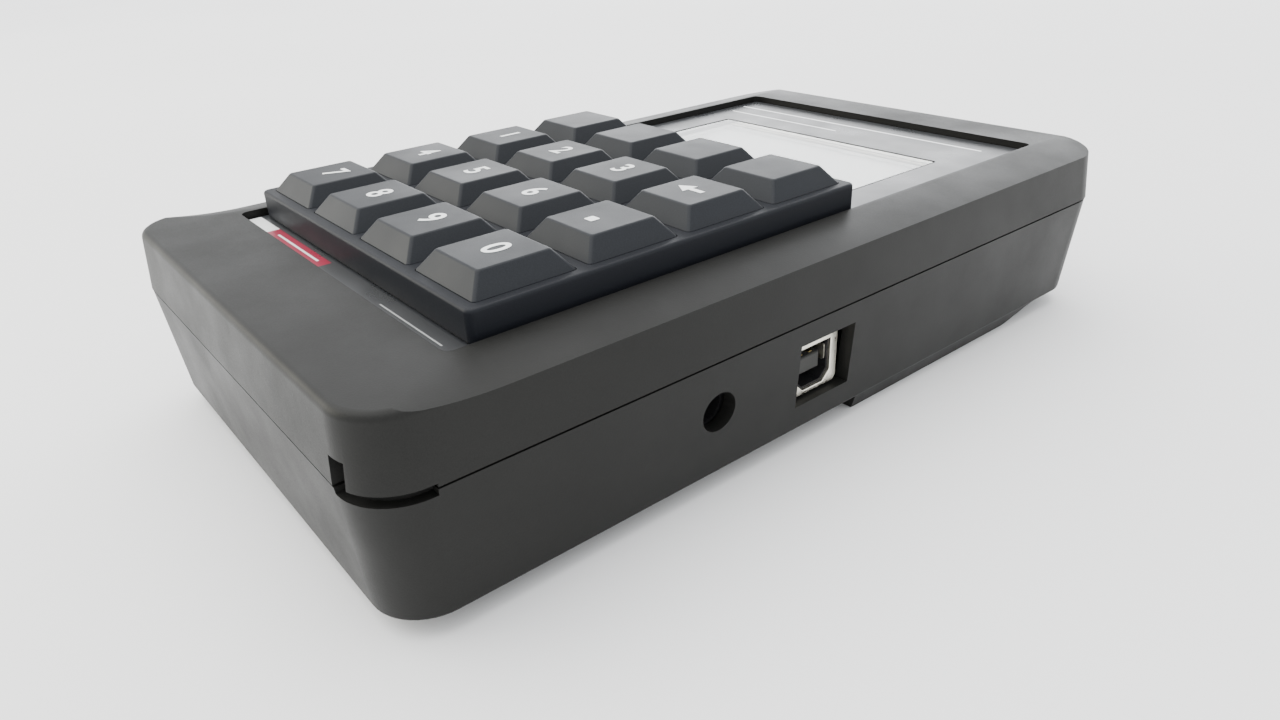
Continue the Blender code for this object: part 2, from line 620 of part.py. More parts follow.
def make_keys(look):
    """Sixteen hollow keys, each with a flange that keeps it in and a plunger."""
    base = KEY_BASE / 2
    flange = base + KEY_FLANGE
    top = KEY_TOP / 2
    ceiling = KEY_SUMMIT - KEY_ROOF
    flange_r = KEY_CORNER + KEY_FLANGE
    room_top = top + (base - top) * KEY_ROOF / KEY_RISE - KEY_SKIN
    for name, x, y in key_places():
        at = (x, y)
        body = [centred(flange, flange, FLANGE_BOTTOM, flange_r, at, 2),
                centred(flange, flange, FLANGE_TOP, flange_r, at, 2),
                centred(base, base, FLANGE_TOP, KEY_CORNER, at, 2),
                centred(base, base, FRAME_TOP, KEY_CORNER, at, 2),
                centred(top, top, KEY_SUMMIT, KEY_CORNER, at, 2)]
        key = solid(name, [body], look, (x, y, KEY_SUMMIT))
        room = [centred(base - KEY_SKIN, base - KEY_SKIN, FLANGE_BOTTOM - CUT_EXTRA, KEY_CORNER, at, 1),
                centred(base - KEY_SKIN, base - KEY_SKIN, FRAME_TOP, KEY_CORNER, at, 1),
                centred(room_top, room_top, ceiling, KEY_CORNER, at, 1)]
        plunger = [circle(PLUNGER_R, PLUNGER_BOTTOM, at, 10), circle(PLUNGER_R, ceiling + GAP, at, 10)]
        shape(key, [room])
        shape(key, [plunger], "UNION")


def make_keypad_inside(rubber, board_look):
    """Dome mat and keypad board."""
    centre = (0.0, KEYPAD_Y)
    mat_top = MAT_BOTTOM + MAT_BASE
    mat = solid("dome_mat", [[centred(WELL_HALF_X - GAP, WELL_HALF_Y - GAP, z, WELL_R - GAP, centre)
                              for z in (MAT_BOTTOM, mat_top)]], rubber)
    domes = [[circle(DOME_R, mat_top - DOME_ROOT, (x, y), 12),
              circle(DOME_R, mat_top + DOME_ROOT, (x, y), 12),
              circle(DOME_TOP_R, DOME_TOP, (x, y), 12)] for _, x, y in key_places()]
    shape(mat, domes, "UNION")
    half_x = SPACER_X + SPACER_INSET
    back = KEYPAD_Y + WELL_HALF_Y + BOARD_LAP
    board = solid("keypad_board", [box(-half_x, half_x, MAIN_BOARD_FRONT, back,
                                       KEYPAD_BOARD_BOTTOM, KEYPAD_BOARD_TOP)], board_look)
    shape(board, [[circle(SCREW_HOLE_R, KEYPAD_BOARD_BOTTOM - CUT_EXTRA, place, 12),
                   circle(SCREW_HOLE_R, KEYPAD_BOARD_TOP + CUT_EXTRA, place, 12)]
                  for place in spacer_places()])


# --- boards and what is on them ------------------------------------------------------------
def make_main_board(board_look, black, steel):
    """Main board, processor, headers, spacers and their screws."""
    board = solid("main_board", [box(-MAIN_BOARD_HALF_X, MAIN_BOARD_HALF_X, MAIN_BOARD_FRONT,
                                     MAIN_BOARD_BACK, MAIN_BOARD_BOTTOM, MAIN_BOARD_TOP)], board_look)
    shape(board, [[circle(SCREW_HOLE_R, MAIN_BOARD_BOTTOM - CUT_EXTRA, place, 12),
                   circle(SCREW_HOLE_R, MAIN_BOARD_TOP + CUT_EXTRA, place, 12)]
                  for place in spacer_places()])
    on_board = MAIN_BOARD_TOP + GAP
    solid("processor", [box(-CHIP / 2, CHIP / 2, KEYPAD_Y - CHIP / 2, KEYPAD_Y + CHIP / 2,
                            on_board, on_board + CHIP_HEIGHT)], black)
    front = MAIN_BOARD_FRONT + SPACER_INSET
    solid("keypad_header", [box(-HEADER_LENGTH / 2, HEADER_LENGTH / 2, front - HEADER_WIDTH / 2,
                                front + HEADER_WIDTH / 2, on_board, KEYPAD_BOARD_BOTTOM - GAP)], black)
    solid("display_header", [box(-HEADER_LENGTH / 2, HEADER_LENGTH / 2, DISPLAY_BOARD_FRONT + GAP,
                                 MAIN_BOARD_BACK - GAP, on_board, DISPLAY_BOARD_BOTTOM - GAP)], black)
    low = on_board
    high = KEYPAD_BOARD_BOTTOM - GAP
    for number, place in enumerate(spacer_places(), 1):
        spacer = solid(f"spacer_{number}",
                       [[circle(SPACER_R, low, place, 6), circle(SPACER_R, high, place, 6)]], steel)
        shape(spacer, [[circle(SPACER_STUD_R, high - GAP, place, 12),
                        circle(SPACER_STUD_R, KEYPAD_BOARD_BOTTOM + SPACER_STUD, place, 12)]], "UNION")
        shape(spacer, [[circle(SCREW_HOLE_R, low - CUT_EXTRA, place, 12),
                        circle(SCREW_HOLE_R, low + SCREW_DEPTH, place, 12)]])
        head_top = MAIN_BOARD_BOTTOM - GAP
        solid(f"board_screw_{number}", [[circle(SCREW_HEAD_R, head_top - SCREW_HEAD, place, 16),
                                         circle(SCREW_HEAD_R, head_top, place, 16),
                                         circle(SCREW_R, head_top, place, 16),
                                         circle(SCREW_R, low + SCREW_DEPTH - GAP, place, 16)]], steel)


def make_usb(metal, black):
    """USB type-B socket that hangs from the main board, its mouth in the right wall."""
    wall = HALF_W - base_half(SOCKET_TOP - USB_Z / 2)
    front = wall - USB_SETBACK
    centre_y = USB_FROM_CENTRE + USB_SHIFT
    low = SOCKET_TOP - USB_Z
    shell = solid("usb_shell", [box(front - USB_DEPTH, front, centre_y - USB_Y / 2, centre_y + USB_Y / 2,
                                    low, SOCKET_TOP)], metal)
    z_mid = SOCKET_TOP - USB_Z / 2 - USB_MOUTH_DROP
    left = centre_y - USB_MOUTH_Y / 2
    right = centre_y + USB_MOUTH_Y / 2
    bottom = z_mid - USB_MOUTH_Z / 2
    top = z_mid + USB_MOUTH_Z / 2
    cut = USB_MOUTH_CORNER
    mouth = [(left + cut, bottom), (right - cut, bottom), (right, bottom + cut), (right, top),
             (left, top), (left, bottom + cut)]
    shape(shell, [prism_x(mouth, front - USB_MOUTH_DEPTH, front + CUT_EXTRA)])
    solid("usb_tongue", [box(front - USB_MOUTH_DEPTH + GAP, front - TONGUE_BACK,
                             centre_y - TONGUE_Y / 2, centre_y + TONGUE_Y / 2,
                             z_mid - TONGUE_Z / 2, z_mid + TONGUE_Z / 2)], black)


def make_jack(black, metal):
    """Barrel power jack that hangs from the main board behind its round hole."""
    z_mid = SOCKET_TOP - JACK_BODY / 2
    inside = HALF_W - base_half(z_mid - JACK_BODY / 2) - WALL
    front = inside - GAP
    half = JACK_BODY / 2
    body = solid("dc_jack_body", [box(front - JACK_DEPTH, front, JACK_FROM_CENTRE - half,
                                      JACK_FROM_CENTRE + half, z_mid - half, SOCKET_TOP)], black)
    back = front - JACK_BORE_DEPTH
    shape(body, [turned([circle(JACK_BORE_R, 0.0), circle(JACK_BORE_R, JACK_BORE_DEPTH + CUT_EXTRA)], "X",
                        (back, JACK_FROM_CENTRE, z_mid))])
    length = JACK_BORE_DEPTH - JACK_PIN_BACK - GAP
    solid("dc_jack_pin", [turned([circle(JACK_PIN_R, 0.0, segments=12),
                                  circle(JACK_PIN_R, length - JACK_PIN_POINT, segments=12),
                                  circle(JACK_PIN_R / 2, length, segments=12)], "X",
                                 (back + GAP, JACK_FROM_CENTRE, z_mid))], metal)


# --- batteries -----------------------------------------------------------------------------
def spring_rings(start, length):
    """Rings of a coil along +Y from a start point."""
    per_turn = 12
    count = SPRING_TURNS * per_turn
    rise = (length - 2 * SPRING_WIRE_R) / count
    rings = []
    for i in range(count + 1):
        angle = 2 * pi * i / per_turn
        outward = Vector((cos(angle), 0.0, sin(angle)))
        spot = Vector(start) + outward * SPRING_R + Vector((0.0, SPRING_WIRE_R + rise * i, 0.0))
        across = Vector((0.0, 1.0, 0.0))
        rings.append([spot + SPRING_WIRE_R * (cos(t) * outward + sin(t) * across)
                      for t in [2 * pi * k / 6 for k in range(6)]])
    return rings


def make_batteries(cell_look, metal):
    """Four AA cells, their springs and the two contact plates."""
    centre_z = DOOR_THICKNESS + 2 * GAP + CELL_D / 2
    plate_front = BOX_FRONT + GAP
    plate_back = BOX_BACK - GAP
    half_x = BOX_HALF_X - GAP
    low = DOOR_THICKNESS + 3 * GAP
    high = BOX_ROOF - GAP
    solid("contact_plate_front", [box(-half_x, half_x, plate_front, plate_front + CONTACT_THICKNESS,
                                      low, high)], metal)
    solid("contact_plate_back", [box(-half_x, half_x, plate_back - CONTACT_THICKNESS, plate_back,
                                     low, high)], metal)
    first = plate_front + CONTACT_THICKNESS + GAP
    last = plate_back - CONTACT_THICKNESS - GAP
    for number, (x, spring_in_front) in enumerate(cell_places(), 1):
        spring_start = first if spring_in_front else last - SPRING_LENGTH
        solid(f"battery_spring_{number}", [spring_rings((x, spring_start, centre_z), SPRING_LENGTH)], metal)
        body = CELL_LENGTH - NUB_HEIGHT
        cell_r = CELL_D / 2
        profile = [circle(cell_r - CELL_EDGE, 0.0), circle(cell_r, CELL_EDGE),
                   circle(cell_r, body - CELL_EDGE), circle(cell_r - CELL_EDGE, body),
                   circle(NUB_R, body), circle(NUB_R, CELL_LENGTH)]
        if spring_in_front:
            rings = turned(profile, "Y", (x, first + SPRING_LENGTH + GAP, centre_z))
        else:
            rings = turned(profile, "-Y", (x, last - SPRING_LENGTH - GAP, centre_z))
        solid(f"battery_{number}", [rings], cell_look)


def make_door(look):
    """Battery door: a plate with a rail along each side, which slides off towards +Y."""
    half_x = BOX_HALF_X - SLIDE_GAP
    middle = (BOX_FRONT + RAMP_FRONT) / 2
    door = solid("battery_door", [prism_x(door_outline(), -half_x, half_x)], look, (0.0, middle, 0.0))
    rails = []
    for side in (-1, 1):
        x0, x1 = sorted((side * (half_x - RAIL_ROOT), side * (half_x + RAIL_WIDTH)))
        rails.append(box(x0, x1, BOX_FRONT + 2 * GAP, RAMP_FRONT, RAIL_Z, RAIL_Z + RAIL_THICKNESS))
    shape(door, rails, "UNION")
    first = RAMP_FRONT - GRIP_FROM_END
    grips = [box(-GRIP_LENGTH / 2, GRIP_LENGTH / 2, first - i * GRIP_PITCH - GRIP_WIDTH,
                 first - i * GRIP_PITCH, -CUT_EXTRA, GRIP_DEPTH) for i in range(GRIP_COUNT)]
    shape(door, grips)


# --- fasteners and feet ------------------------------------------------------------------------
def make_case_screws(look):
    """Four screws, driven from below into the top shell's bosses."""
    head_top = CASE_SINK_TOP - GAP
    tip = SEAM_Z + CASE_SCREW_REACH
    for number, place in enumerate(boss_places(), 1):
        screw = solid(f"case_screw_{number}",
                      [[circle(CASE_SCREW_HEAD_R, head_top - CASE_SCREW_HEAD, place, 16),
                        circle(CASE_SCREW_HEAD_R, head_top, place, 16),
                        circle(CASE_SCREW_R, head_top, place, 16),
                        circle(CASE_SCREW_R, tip - CASE_SCREW_POINT, place, 16),
                        circle(CASE_SCREW_R / 2, tip, place, 16)]], look)
        x, y = place
        low = head_top - CASE_SCREW_HEAD
        for along_x, along_y in ((CROSS_LENGTH, CROSS_WIDTH), (CROSS_WIDTH, CROSS_LENGTH)):
            shape(screw, [box(x - along_x / 2, x + along_x / 2, y - along_y / 2, y + along_y / 2,
                              low - CUT_EXTRA, low + CROSS_DEPTH)])


def make_feet(rubber):
    """Two feet that bring the operator's end level with the deep section."""
    y = -HALF_L + FOOT_INSET_Y
    for name, side in (("foot_left", -1), ("foot_right", 1)):
        place = (side * (HALF_W - FOOT_INSET_X), y)
        solid(name, [[circle(FOOT_R - FOOT_EDGE, 0.0, place), circle(FOOT_R, FOOT_EDGE, place),
                      circle(FOOT_R, FRONT_FLOOR_Z - GAP, place)]], rubber)


def main():
    """Model every piece."""
    for old in list(bpy.data.objects):
        bpy.data.objects.remove(old, do_unlink=True)
    charcoal = material("case_plastic", (0.035, 0.036, 0.036), 0.5)
    panel_dark = material("panel_sheet", (0.06, 0.063, 0.067), 0.35)
    key_grey = material("key_plastic", (0.055, 0.062, 0.072), 0.5)
    frame_grey = material("frame_plastic", (0.035, 0.038, 0.048), 0.55)
    clear = material("window_clear", (0.85, 0.88, 0.88), 0.08, 0.0, 0.4)
    display = material("display_glass", (0.62, 0.66, 0.62), 0.2)
    steel = material("steel", (0.62, 0.62, 0.6), 0.3, 1.0)
    board_green = material("board_green", (0.02, 0.16, 0.06), 0.45)
    black = material("black_plastic", (0.015, 0.015, 0.016), 0.45)
    rubber = material("rubber", (0.03, 0.03, 0.03), 0.8)
    silicone = material("silicone", (0.4, 0.4, 0.38), 0.7)
    cell = material("cell_sleeve", (0.03, 0.05, 0.16), 0.35)
    make_bottom_shell(charcoal)
    make_top_shell(charcoal)
    make_panel(panel_dark)
    make_display(clear, steel, display, board_green)
    make_keypad_frame(frame_grey)
    make_keys(key_grey)
    make_keypad_inside(silicone, board_green)
    make_main_board(board_green, black, steel)
    make_usb(steel, black)
    make_jack(black, steel)
    make_batteries(cell, steel)
    make_door(charcoal)
    make_case_screws(steel)
    make_feet(rubber)


main()
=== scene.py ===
"""Looks of a hand-held keypad signal simulator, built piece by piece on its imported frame."""

from math import pi, radians

import bmesh
import bpy
from mathutils import Matrix, Vector


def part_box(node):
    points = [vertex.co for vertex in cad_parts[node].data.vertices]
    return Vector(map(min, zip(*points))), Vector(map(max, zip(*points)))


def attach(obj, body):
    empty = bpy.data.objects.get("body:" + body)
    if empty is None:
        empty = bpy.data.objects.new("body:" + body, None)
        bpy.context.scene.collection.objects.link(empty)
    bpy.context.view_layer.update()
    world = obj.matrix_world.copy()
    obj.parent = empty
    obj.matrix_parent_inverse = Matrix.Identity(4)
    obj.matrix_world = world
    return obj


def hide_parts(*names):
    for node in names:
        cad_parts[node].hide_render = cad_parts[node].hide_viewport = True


bl_info = {
    "name": "Keypad signal simulator",
    "version": (1, 0, 0),
    "blender": (4, 5, 0),
    "location": "View3D > Sidebar > Simulator",
    "description": "Builds the case, keypad, display and sockets of a hand-held signal simulator",
    "category": "Object",
}

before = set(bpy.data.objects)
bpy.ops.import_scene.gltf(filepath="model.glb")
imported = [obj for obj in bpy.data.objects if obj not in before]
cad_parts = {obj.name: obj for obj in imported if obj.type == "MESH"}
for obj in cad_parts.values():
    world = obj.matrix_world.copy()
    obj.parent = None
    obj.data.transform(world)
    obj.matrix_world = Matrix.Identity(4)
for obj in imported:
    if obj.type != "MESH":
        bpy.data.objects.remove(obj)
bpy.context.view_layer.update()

MM = 0.001
CASE = "case"
KEY_NAMES = [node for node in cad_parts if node.startswith("key_")]
TOP_LOW, TOP_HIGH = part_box("top_shell")
BOTTOM_LOW, BOTTOM_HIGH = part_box("bottom_shell")
PANEL_LOW, PANEL_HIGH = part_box("front_panel")
WINDOW_LOW, WINDOW_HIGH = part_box("display_window")
FRAME_LOW, FRAME_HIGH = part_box("keypad_frame")
MAT_LOW, MAT_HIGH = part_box("dome_mat")
DOOR_LOW, DOOR_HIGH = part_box("battery_door")
USB_LOW, USB_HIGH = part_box("usb_shell")
JACK_LOW, JACK_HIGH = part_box("dc_jack_body")
CASE_SCREWS = [f"case_screw_{number}" for number in range(1, 5)]
GAP = 0.3 * MM
SEAM_GAP = 0.4 * MM          # between the two case halves
DIGIT_STROKE = 0.12 * MM     # thickening of a printed digit; outlines 4.6 mm high stay whole up to 0.14 mm
MOUTH_DROP = 0.8 * MM        # data socket's mouth below the middle of its shell
MOUTH_HALF = (4.225 * MM, 3.9 * MM)
MOUTH_CORNER = 1.7 * MM
CUT_SHIFT = 0.45 * MM        # case cut-out from the middle of the shell
CUT_HALF = (6.75 * MM, 5.9 * MM)
JACK_HOLE_R = 3.4 * MM


# --- modelling helpers ------------------------------------------------------------------
def deselect():
    """Leave edit mode and select nothing."""
    if bpy.context.object and bpy.context.object.mode != "OBJECT":
        bpy.ops.object.mode_set(mode="OBJECT")
    bpy.ops.object.select_all(action="DESELECT")


def focus(*pieces):
    """Select only these pieces; the first is active."""
    deselect()
    for piece in pieces:
        piece.select_set(True)
    bpy.context.view_layer.objects.active = pieces[0]


def settle(piece):
    """Move a piece's place, turn and scale into its mesh."""
    focus(piece)
    bpy.ops.object.transform_apply(location=True, rotation=True, scale=True)


def edit(piece, kind):
    """Enter edit mode, selecting by VERT, EDGE or FACE."""
    focus(piece)
    bpy.ops.object.mode_set(mode="EDIT")
    bpy.ops.mesh.select_mode(type=kind)


def choose(piece, kind, test):
    """In edit mode, select the verts, edges or faces that pass a test."""
    mesh = bmesh.from_edit_mesh(piece.data)
    for group in (mesh.faces, mesh.edges, mesh.verts):
        for item in group:
            item.select_set(False)
    for item in getattr(mesh, kind):
        if test(item):
            item.select_set(True)
    bmesh.update_edit_mesh(piece.data)


def leave():
    """Back to object mode."""
    bpy.ops.object.mode_set(mode="OBJECT")


def middle(item):
    """Middle of an edge or a face."""
    return sum((vert.co for vert in item.verts), Vector()) / len(item.verts)


def along(edge, axis):
    """Whether an edge runs mostly along an axis."""
    way = (edge.verts[1].co - edge.verts[0].co).normalized()
    return abs(way[axis]) > 0.9


def block(name, low, high):
    """A box between two corners."""
    deselect()
    low, high = Vector(low), Vector(high)
    bpy.ops.mesh.primitive_cube_add(size=1, location=(low + high) / 2)
    piece = bpy.context.object
    piece.name = name
    piece.data.name = name
    piece.scale = high - low
    settle(piece)
    return piece


def bevel(piece, test, width, segments):
    """Bevel the edges that pass a test."""
    edit(piece, "EDGE")
    choose(piece, "edges", test)
    bpy.ops.mesh.bevel(offset=width, segments=segments, affect="EDGES", clamp_overlap=True)
    leave()


def slab(name, low, high, radius, segments=10):
    """A box whose upright edges are rounded."""
    piece = block(name, low, high)
    bevel(piece, lambda edge: along(edge, 2), radius, segments)
    return piece


def taper(piece, at_z, share_x, share_y, centre=(0.0, 0.0)):
    """Resize the corners at one height about a centre."""
    edit(piece, "VERT")
    choose(piece, "verts", lambda vert: abs(vert.co.z - at_z) < 1e-5)
    bpy.ops.transform.resize(value=(share_x, share_y, 1.0), center_override=(*centre, at_z))
    leave()


def rod(name, centre, radius, length, axis="Z", segments=32):
    """A cylinder about a centre."""
    deselect()
    turn = {"X": (0.0, pi / 2, 0.0), "Y": (pi / 2, 0.0, 0.0), "Z": (0.0, 0.0, 0.0)}[axis]
    bpy.ops.mesh.primitive_cylinder_add(vertices=segments, radius=radius, depth=length,
                                        location=centre, rotation=turn)
    piece = bpy.context.object
    piece.name = name
    settle(piece)
    return piece


def apply_all(piece):
    """Apply each modifier in turn."""
    focus(piece)
    for modifier in list(piece.modifiers):
        bpy.ops.object.modifier_apply(modifier=modifier.name)


def carve(piece, *tools, operation="DIFFERENCE"):
    """Cut tools out of a piece, or join them on, and remove the tools."""
    for tool in tools:
        modifier = piece.modifiers.new(operation.title(), "BOOLEAN")
        modifier.operation = operation
        modifier.solver = "EXACT"
        modifier.object = tool
        apply_all(piece)
        bpy.data.objects.remove(tool, do_unlink=True)


def clean(piece):
    """Merge doubled points and dissolve needless edges that cuts leave behind."""
    edit(piece, "VERT")
    bpy.ops.mesh.select_all(action="SELECT")
    bpy.ops.mesh.remove_doubles(threshold=0.004 * MM)
    bpy.ops.mesh.dissolve_limited(angle_limit=radians(0.3))
    leave()


def soften(piece, width, segments=2, angle=35.0):
    """Round every crisp edge a little and shade by angle."""
    clean(piece)
    modifier = piece.modifiers.new("Edges", "BEVEL")
    modifier.limit_method = "ANGLE"
    modifier.angle_limit = radians(angle)
    modifier.width = width
    modifier.segments = segments
    modifier.miter_outer = "MITER_ARC"
    apply_all(piece)
    shade(piece)


def shade(piece, angle=35.0):
    """Smooth shading with faces weighted by their size."""
    focus(piece)
    bpy.ops.object.shade_smooth_by_angle(angle=radians(angle))
    modifier = piece.modifiers.new("Normals", "WEIGHTED_NORMAL")
    modifier.keep_sharp = True
    apply_all(piece)


def copy_of(piece, name, shift):
    """A copy with its own mesh, moved by a shift."""
    made = bpy.data.objects.new(name, piece.data.copy())
    bpy.context.scene.collection.objects.link(made)
    made.location = shift
    settle(made)
    return made


def place(piece, body, look, slot, *stands_for):
    """Give a finished piece its material and its body, and hide the frame nodes that it stands for."""
    piece.data.materials.clear()
    piece.data.materials.append(look)
    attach(piece, body)
    if stands_for:
        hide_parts(*stands_for)


# --- material helpers ----------------------------------------------------------------------
class Surface:
    """A node material with short ways to add the nodes that this object uses."""

    def __init__(self, name, roughness=0.5, metallic=0.0):
        self.material = bpy.data.materials.new(name)
        self.material.use_nodes = True
        self.tree = self.material.node_tree
        self.shader = self.tree.nodes["Principled BSDF"]
        self.shader.inputs["Roughness"].default_value = roughness
        self.shader.inputs["Metallic"].default_value = metallic
        self.spot = self.tree.nodes.new("ShaderNodeTexCoord").outputs["Object"]

    def node(self, kind, **values):
        made = self.tree.nodes.new(kind)
        for key, value in values.items():
            setattr(made, key, value)
        return made

    def wire(self, source, target):
        self.tree.links.new(source, target)

    def noise(self, scale, detail=2.0, rough=0.5, stretch=(1.0, 1.0, 1.0)):
        mapping = self.node("ShaderNodeMapping")
        mapping.inputs["Scale"].default_value = stretch
        self.wire(self.spot, mapping.inputs["Vector"])
        made = self.node("ShaderNodeTexNoise")
        made.inputs["Scale"].default_value = scale
        made.inputs["Detail"].default_value = detail
        made.inputs["Roughness"].default_value = rough
        self.wire(mapping.outputs["Vector"], made.inputs["Vector"])
        return made.outputs["Fac"]

    def spread(self, fac, low, high, from_low=0.3, from_high=0.7):
        made = self.node("ShaderNodeMapRange")
        self.wire(fac, made.inputs["Value"])
        for key, value in (("From Min", from_low), ("From Max", from_high), ("To Min", low), ("To Max", high)):
            made.inputs[key].default_value = value
        return made.outputs["Result"]

    def maths(self, operation, first, second):
        made = self.node("ShaderNodeMath", operation=operation)
        for socket, value in zip(made.inputs, (first, second)):
            if isinstance(value, bpy.types.NodeSocket):
                self.wire(value, socket)
            else:
                socket.default_value = value
        return made.outputs[0]

    def mix(self, fac, first, second, blend="MIX"):
        made = self.node("ShaderNodeMix", data_type="RGBA", blend_type=blend)
        for socket, value in ((made.inputs[0], fac), (made.inputs[6], first), (made.inputs[7], second)):
            if isinstance(value, bpy.types.NodeSocket):
                self.wire(value, socket)
            elif isinstance(value, (int, float)):
                socket.default_value = value
            else:
                socket.default_value = (*value[:3], 1.0)
        return made.outputs[2]

    def axis(self, index):
        made = self.node("ShaderNodeSeparateXYZ")
        self.wire(self.spot, made.inputs[0])
        return made.outputs[index]

    def between(self, value, low, high, soft=0.0001):
        """One inside a stretch and nought outside, with narrow soft ends."""
        rise = self.spread(value, 0.0, 1.0, low - soft, low + soft)
        fall = self.spread(value, 1.0, 0.0, high - soft, high + soft)
        return self.maths("MULTIPLY", rise, fall)

    def patch(self, x0, x1, y0, y1):
        """A rectangle seen from above."""
        return self.maths("MULTIPLY", self.between(self.axis(0), x0, x1), self.between(self.axis(1), y0, y1))

    def colour(self, source):
        self.wire(source, self.shader.inputs["Base Color"])

    def rough(self, source):
        self.wire(source, self.shader.inputs["Roughness"])

    def bump(self, height, strength, distance):
        made = self.node("ShaderNodeBump")
        made.inputs["Strength"].default_value = strength
        made.inputs["Distance"].default_value = distance
        self.wire(height, made.inputs["Height"])
        self.wire(made.outputs["Normal"], self.shader.inputs["Normal"])


def moulded(name, colour, grain=0.35, rough=(0.36, 0.48), smudge=0.11, speck=0.15, gloss=0.14):
    """Moulded plastic: spark-eroded grain, fine colour specks and faint handling marks."""
    skin = Surface(name)
    skin.shader.inputs["Specular IOR Level"].default_value = gloss
    tone = Vector(colour)
    specks = skin.noise(5200.0, 3.0)
    base = skin.mix(skin.spread(specks, 0.0, 1.0), tone * (1.0 - speck), tone * (1.0 + speck))
    marks = skin.noise(34.0, 6.0, 0.62, (1.0, 0.6, 1.4))
    base = skin.mix(skin.spread(marks, 0.0, smudge, 0.5, 0.78), base, tone * 1.9 + Vector((0.004, 0.004, 0.003)))
    skin.colour(base)
    broad = skin.spread(skin.noise(60.0, 5.0, 0.6), rough[0], rough[1])
    fine = skin.spread(specks, -0.04, 0.04)
    skin.rough(skin.maths("ADD", broad, fine))
    skin.bump(skin.noise(3400.0, 2.0), grain, 0.00003)
    return skin.material


def plated(name, colour, roughness, brushed=(1.0, 1.0, 1.0)):
    """Plated or rolled metal with fine drawing marks and duller spots."""
    skin = Surface(name, roughness, 1.0)
    tone = Vector(colour)
    dull = skin.noise(420.0, 4.0, 0.6)
    skin.colour(skin.mix(skin.spread(dull, 0.0, 0.6, 0.45, 0.75), tone, tone * 0.72))
    lines = skin.noise(1600.0, 3.0, 0.5, brushed)
    skin.rough(skin.spread(lines, roughness * 0.8, roughness * 1.35))
    skin.bump(lines, 0.12, 0.00002)
    return skin.material


def printed_panel(name, tone, crimson, ink):
    """Dark satin sheet with a printed band, a pale patch and thin rules; no lettering."""
    skin = Surface(name)
    dark = Vector(tone)
    flakes = skin.noise(5200.0, 2.0)
    base = skin.mix(skin.spread(flakes, 0.0, 1.0), dark * 0.9, dark * 1.1)
    haze = skin.noise(45.0, 5.0, 0.6)
    base = skin.mix(skin.spread(haze, 0.0, 0.35, 0.45, 0.75), base, dark * 1.4)
    front = PANEL_LOW.y
    back = PANEL_HIGH.y
    strip = (front + 0.5 * MM, FRAME_LOW.y - 1.0 * MM)
    prints = (
        ((-31.0, -5.4), strip, crimson),
        ((-39.6, -29.6), strip, ink),
        ((-26.5, -8.0), (strip[0] + 1.2 * MM, strip[0] + 1.6 * MM), ink),
        ((16.5, 35.5), (strip[0] + 1.0 * MM, strip[0] + 1.2 * MM), Vector(ink) * 0.5),
        ((-38.0, 33.0), (back - 7.0 * MM, back - 6.4 * MM), ink),
        ((-36.5, -2.0), (back - 12.6 * MM, back - 12.1 * MM), ink),
    )
    for (x0, x1), (y0, y1), shade_of in prints:
        base = skin.mix(skin.patch(x0 * MM, x1 * MM, y0, y1), base, shade_of)
    skin.colour(base)
    skin.rough(skin.spread(skin.noise(90.0, 4.0), 0.24, 0.36))
    skin.bump(skin.noise(1800.0, 2.0), 0.1, 0.00002)
    return skin.material


def clear_plastic(name):
    """Polished acrylic with faint dust."""
    skin = Surface(name, 0.05)
    skin.shader.inputs["Transmission Weight"].default_value = 1.0
    skin.shader.inputs["IOR"].default_value = 1.49
    dust = skin.noise(900.0, 5.0, 0.7)
    skin.colour(skin.mix(skin.spread(dust, 0.0, 0.4, 0.55, 0.8), (0.94, 0.95, 0.94), (0.8, 0.82, 0.8)))
    skin.rough(skin.spread(skin.noise(60.0, 4.0), 0.03, 0.09))
    return skin.material


def display_face(name):
    """Unlit reflective display: pale film with a faint dot grid."""
    skin = Surface(name, 0.35)
    grid_x = skin.maths("PINGPONG", skin.axis(0), 0.00025)
    grid_y = skin.maths("PINGPONG", skin.axis(1), 0.00025)
    lines = skin.maths("MINIMUM", grid_x, grid_y)
    base = skin.mix(skin.spread(lines, 1.0, 0.0, 0.0, 0.00004), (0.80, 0.82, 0.80), (0.72, 0.75, 0.72))
    skin.colour(skin.mix(skin.spread(skin.noise(40.0, 3.0), 0.0, 0.2), base, (0.86, 0.87, 0.84)))
    skin.rough(skin.spread(skin.noise(200.0), 0.3, 0.4))
    return skin.material


def circuit_board(name):
    """Green solder mask with darker tracks and small pads."""
    skin = Surface(name, 0.4)
    tracks = skin.node("ShaderNodeTexBrick")
    tracks.inputs["Scale"].default_value = 220.0
    tracks.inputs["Mortar Size"].default_value = 0.03
    skin.wire(skin.spot, tracks.inputs["Vector"])
    base = skin.mix(tracks.outputs["Fac"], (0.015, 0.13, 0.05), (0.03, 0.2, 0.08))
    pads = skin.node("ShaderNodeTexVoronoi")
    pads.inputs["Scale"].default_value = 260.0
    skin.wire(skin.spot, pads.inputs["Vector"])
    skin.colour(skin.mix(skin.spread(pads.outputs["Distance"], 1.0, 0.0, 0.1, 0.13), base, (0.6, 0.57, 0.45)))
    skin.rough(skin.spread(skin.noise(300.0), 0.35, 0.5))
    return skin.material


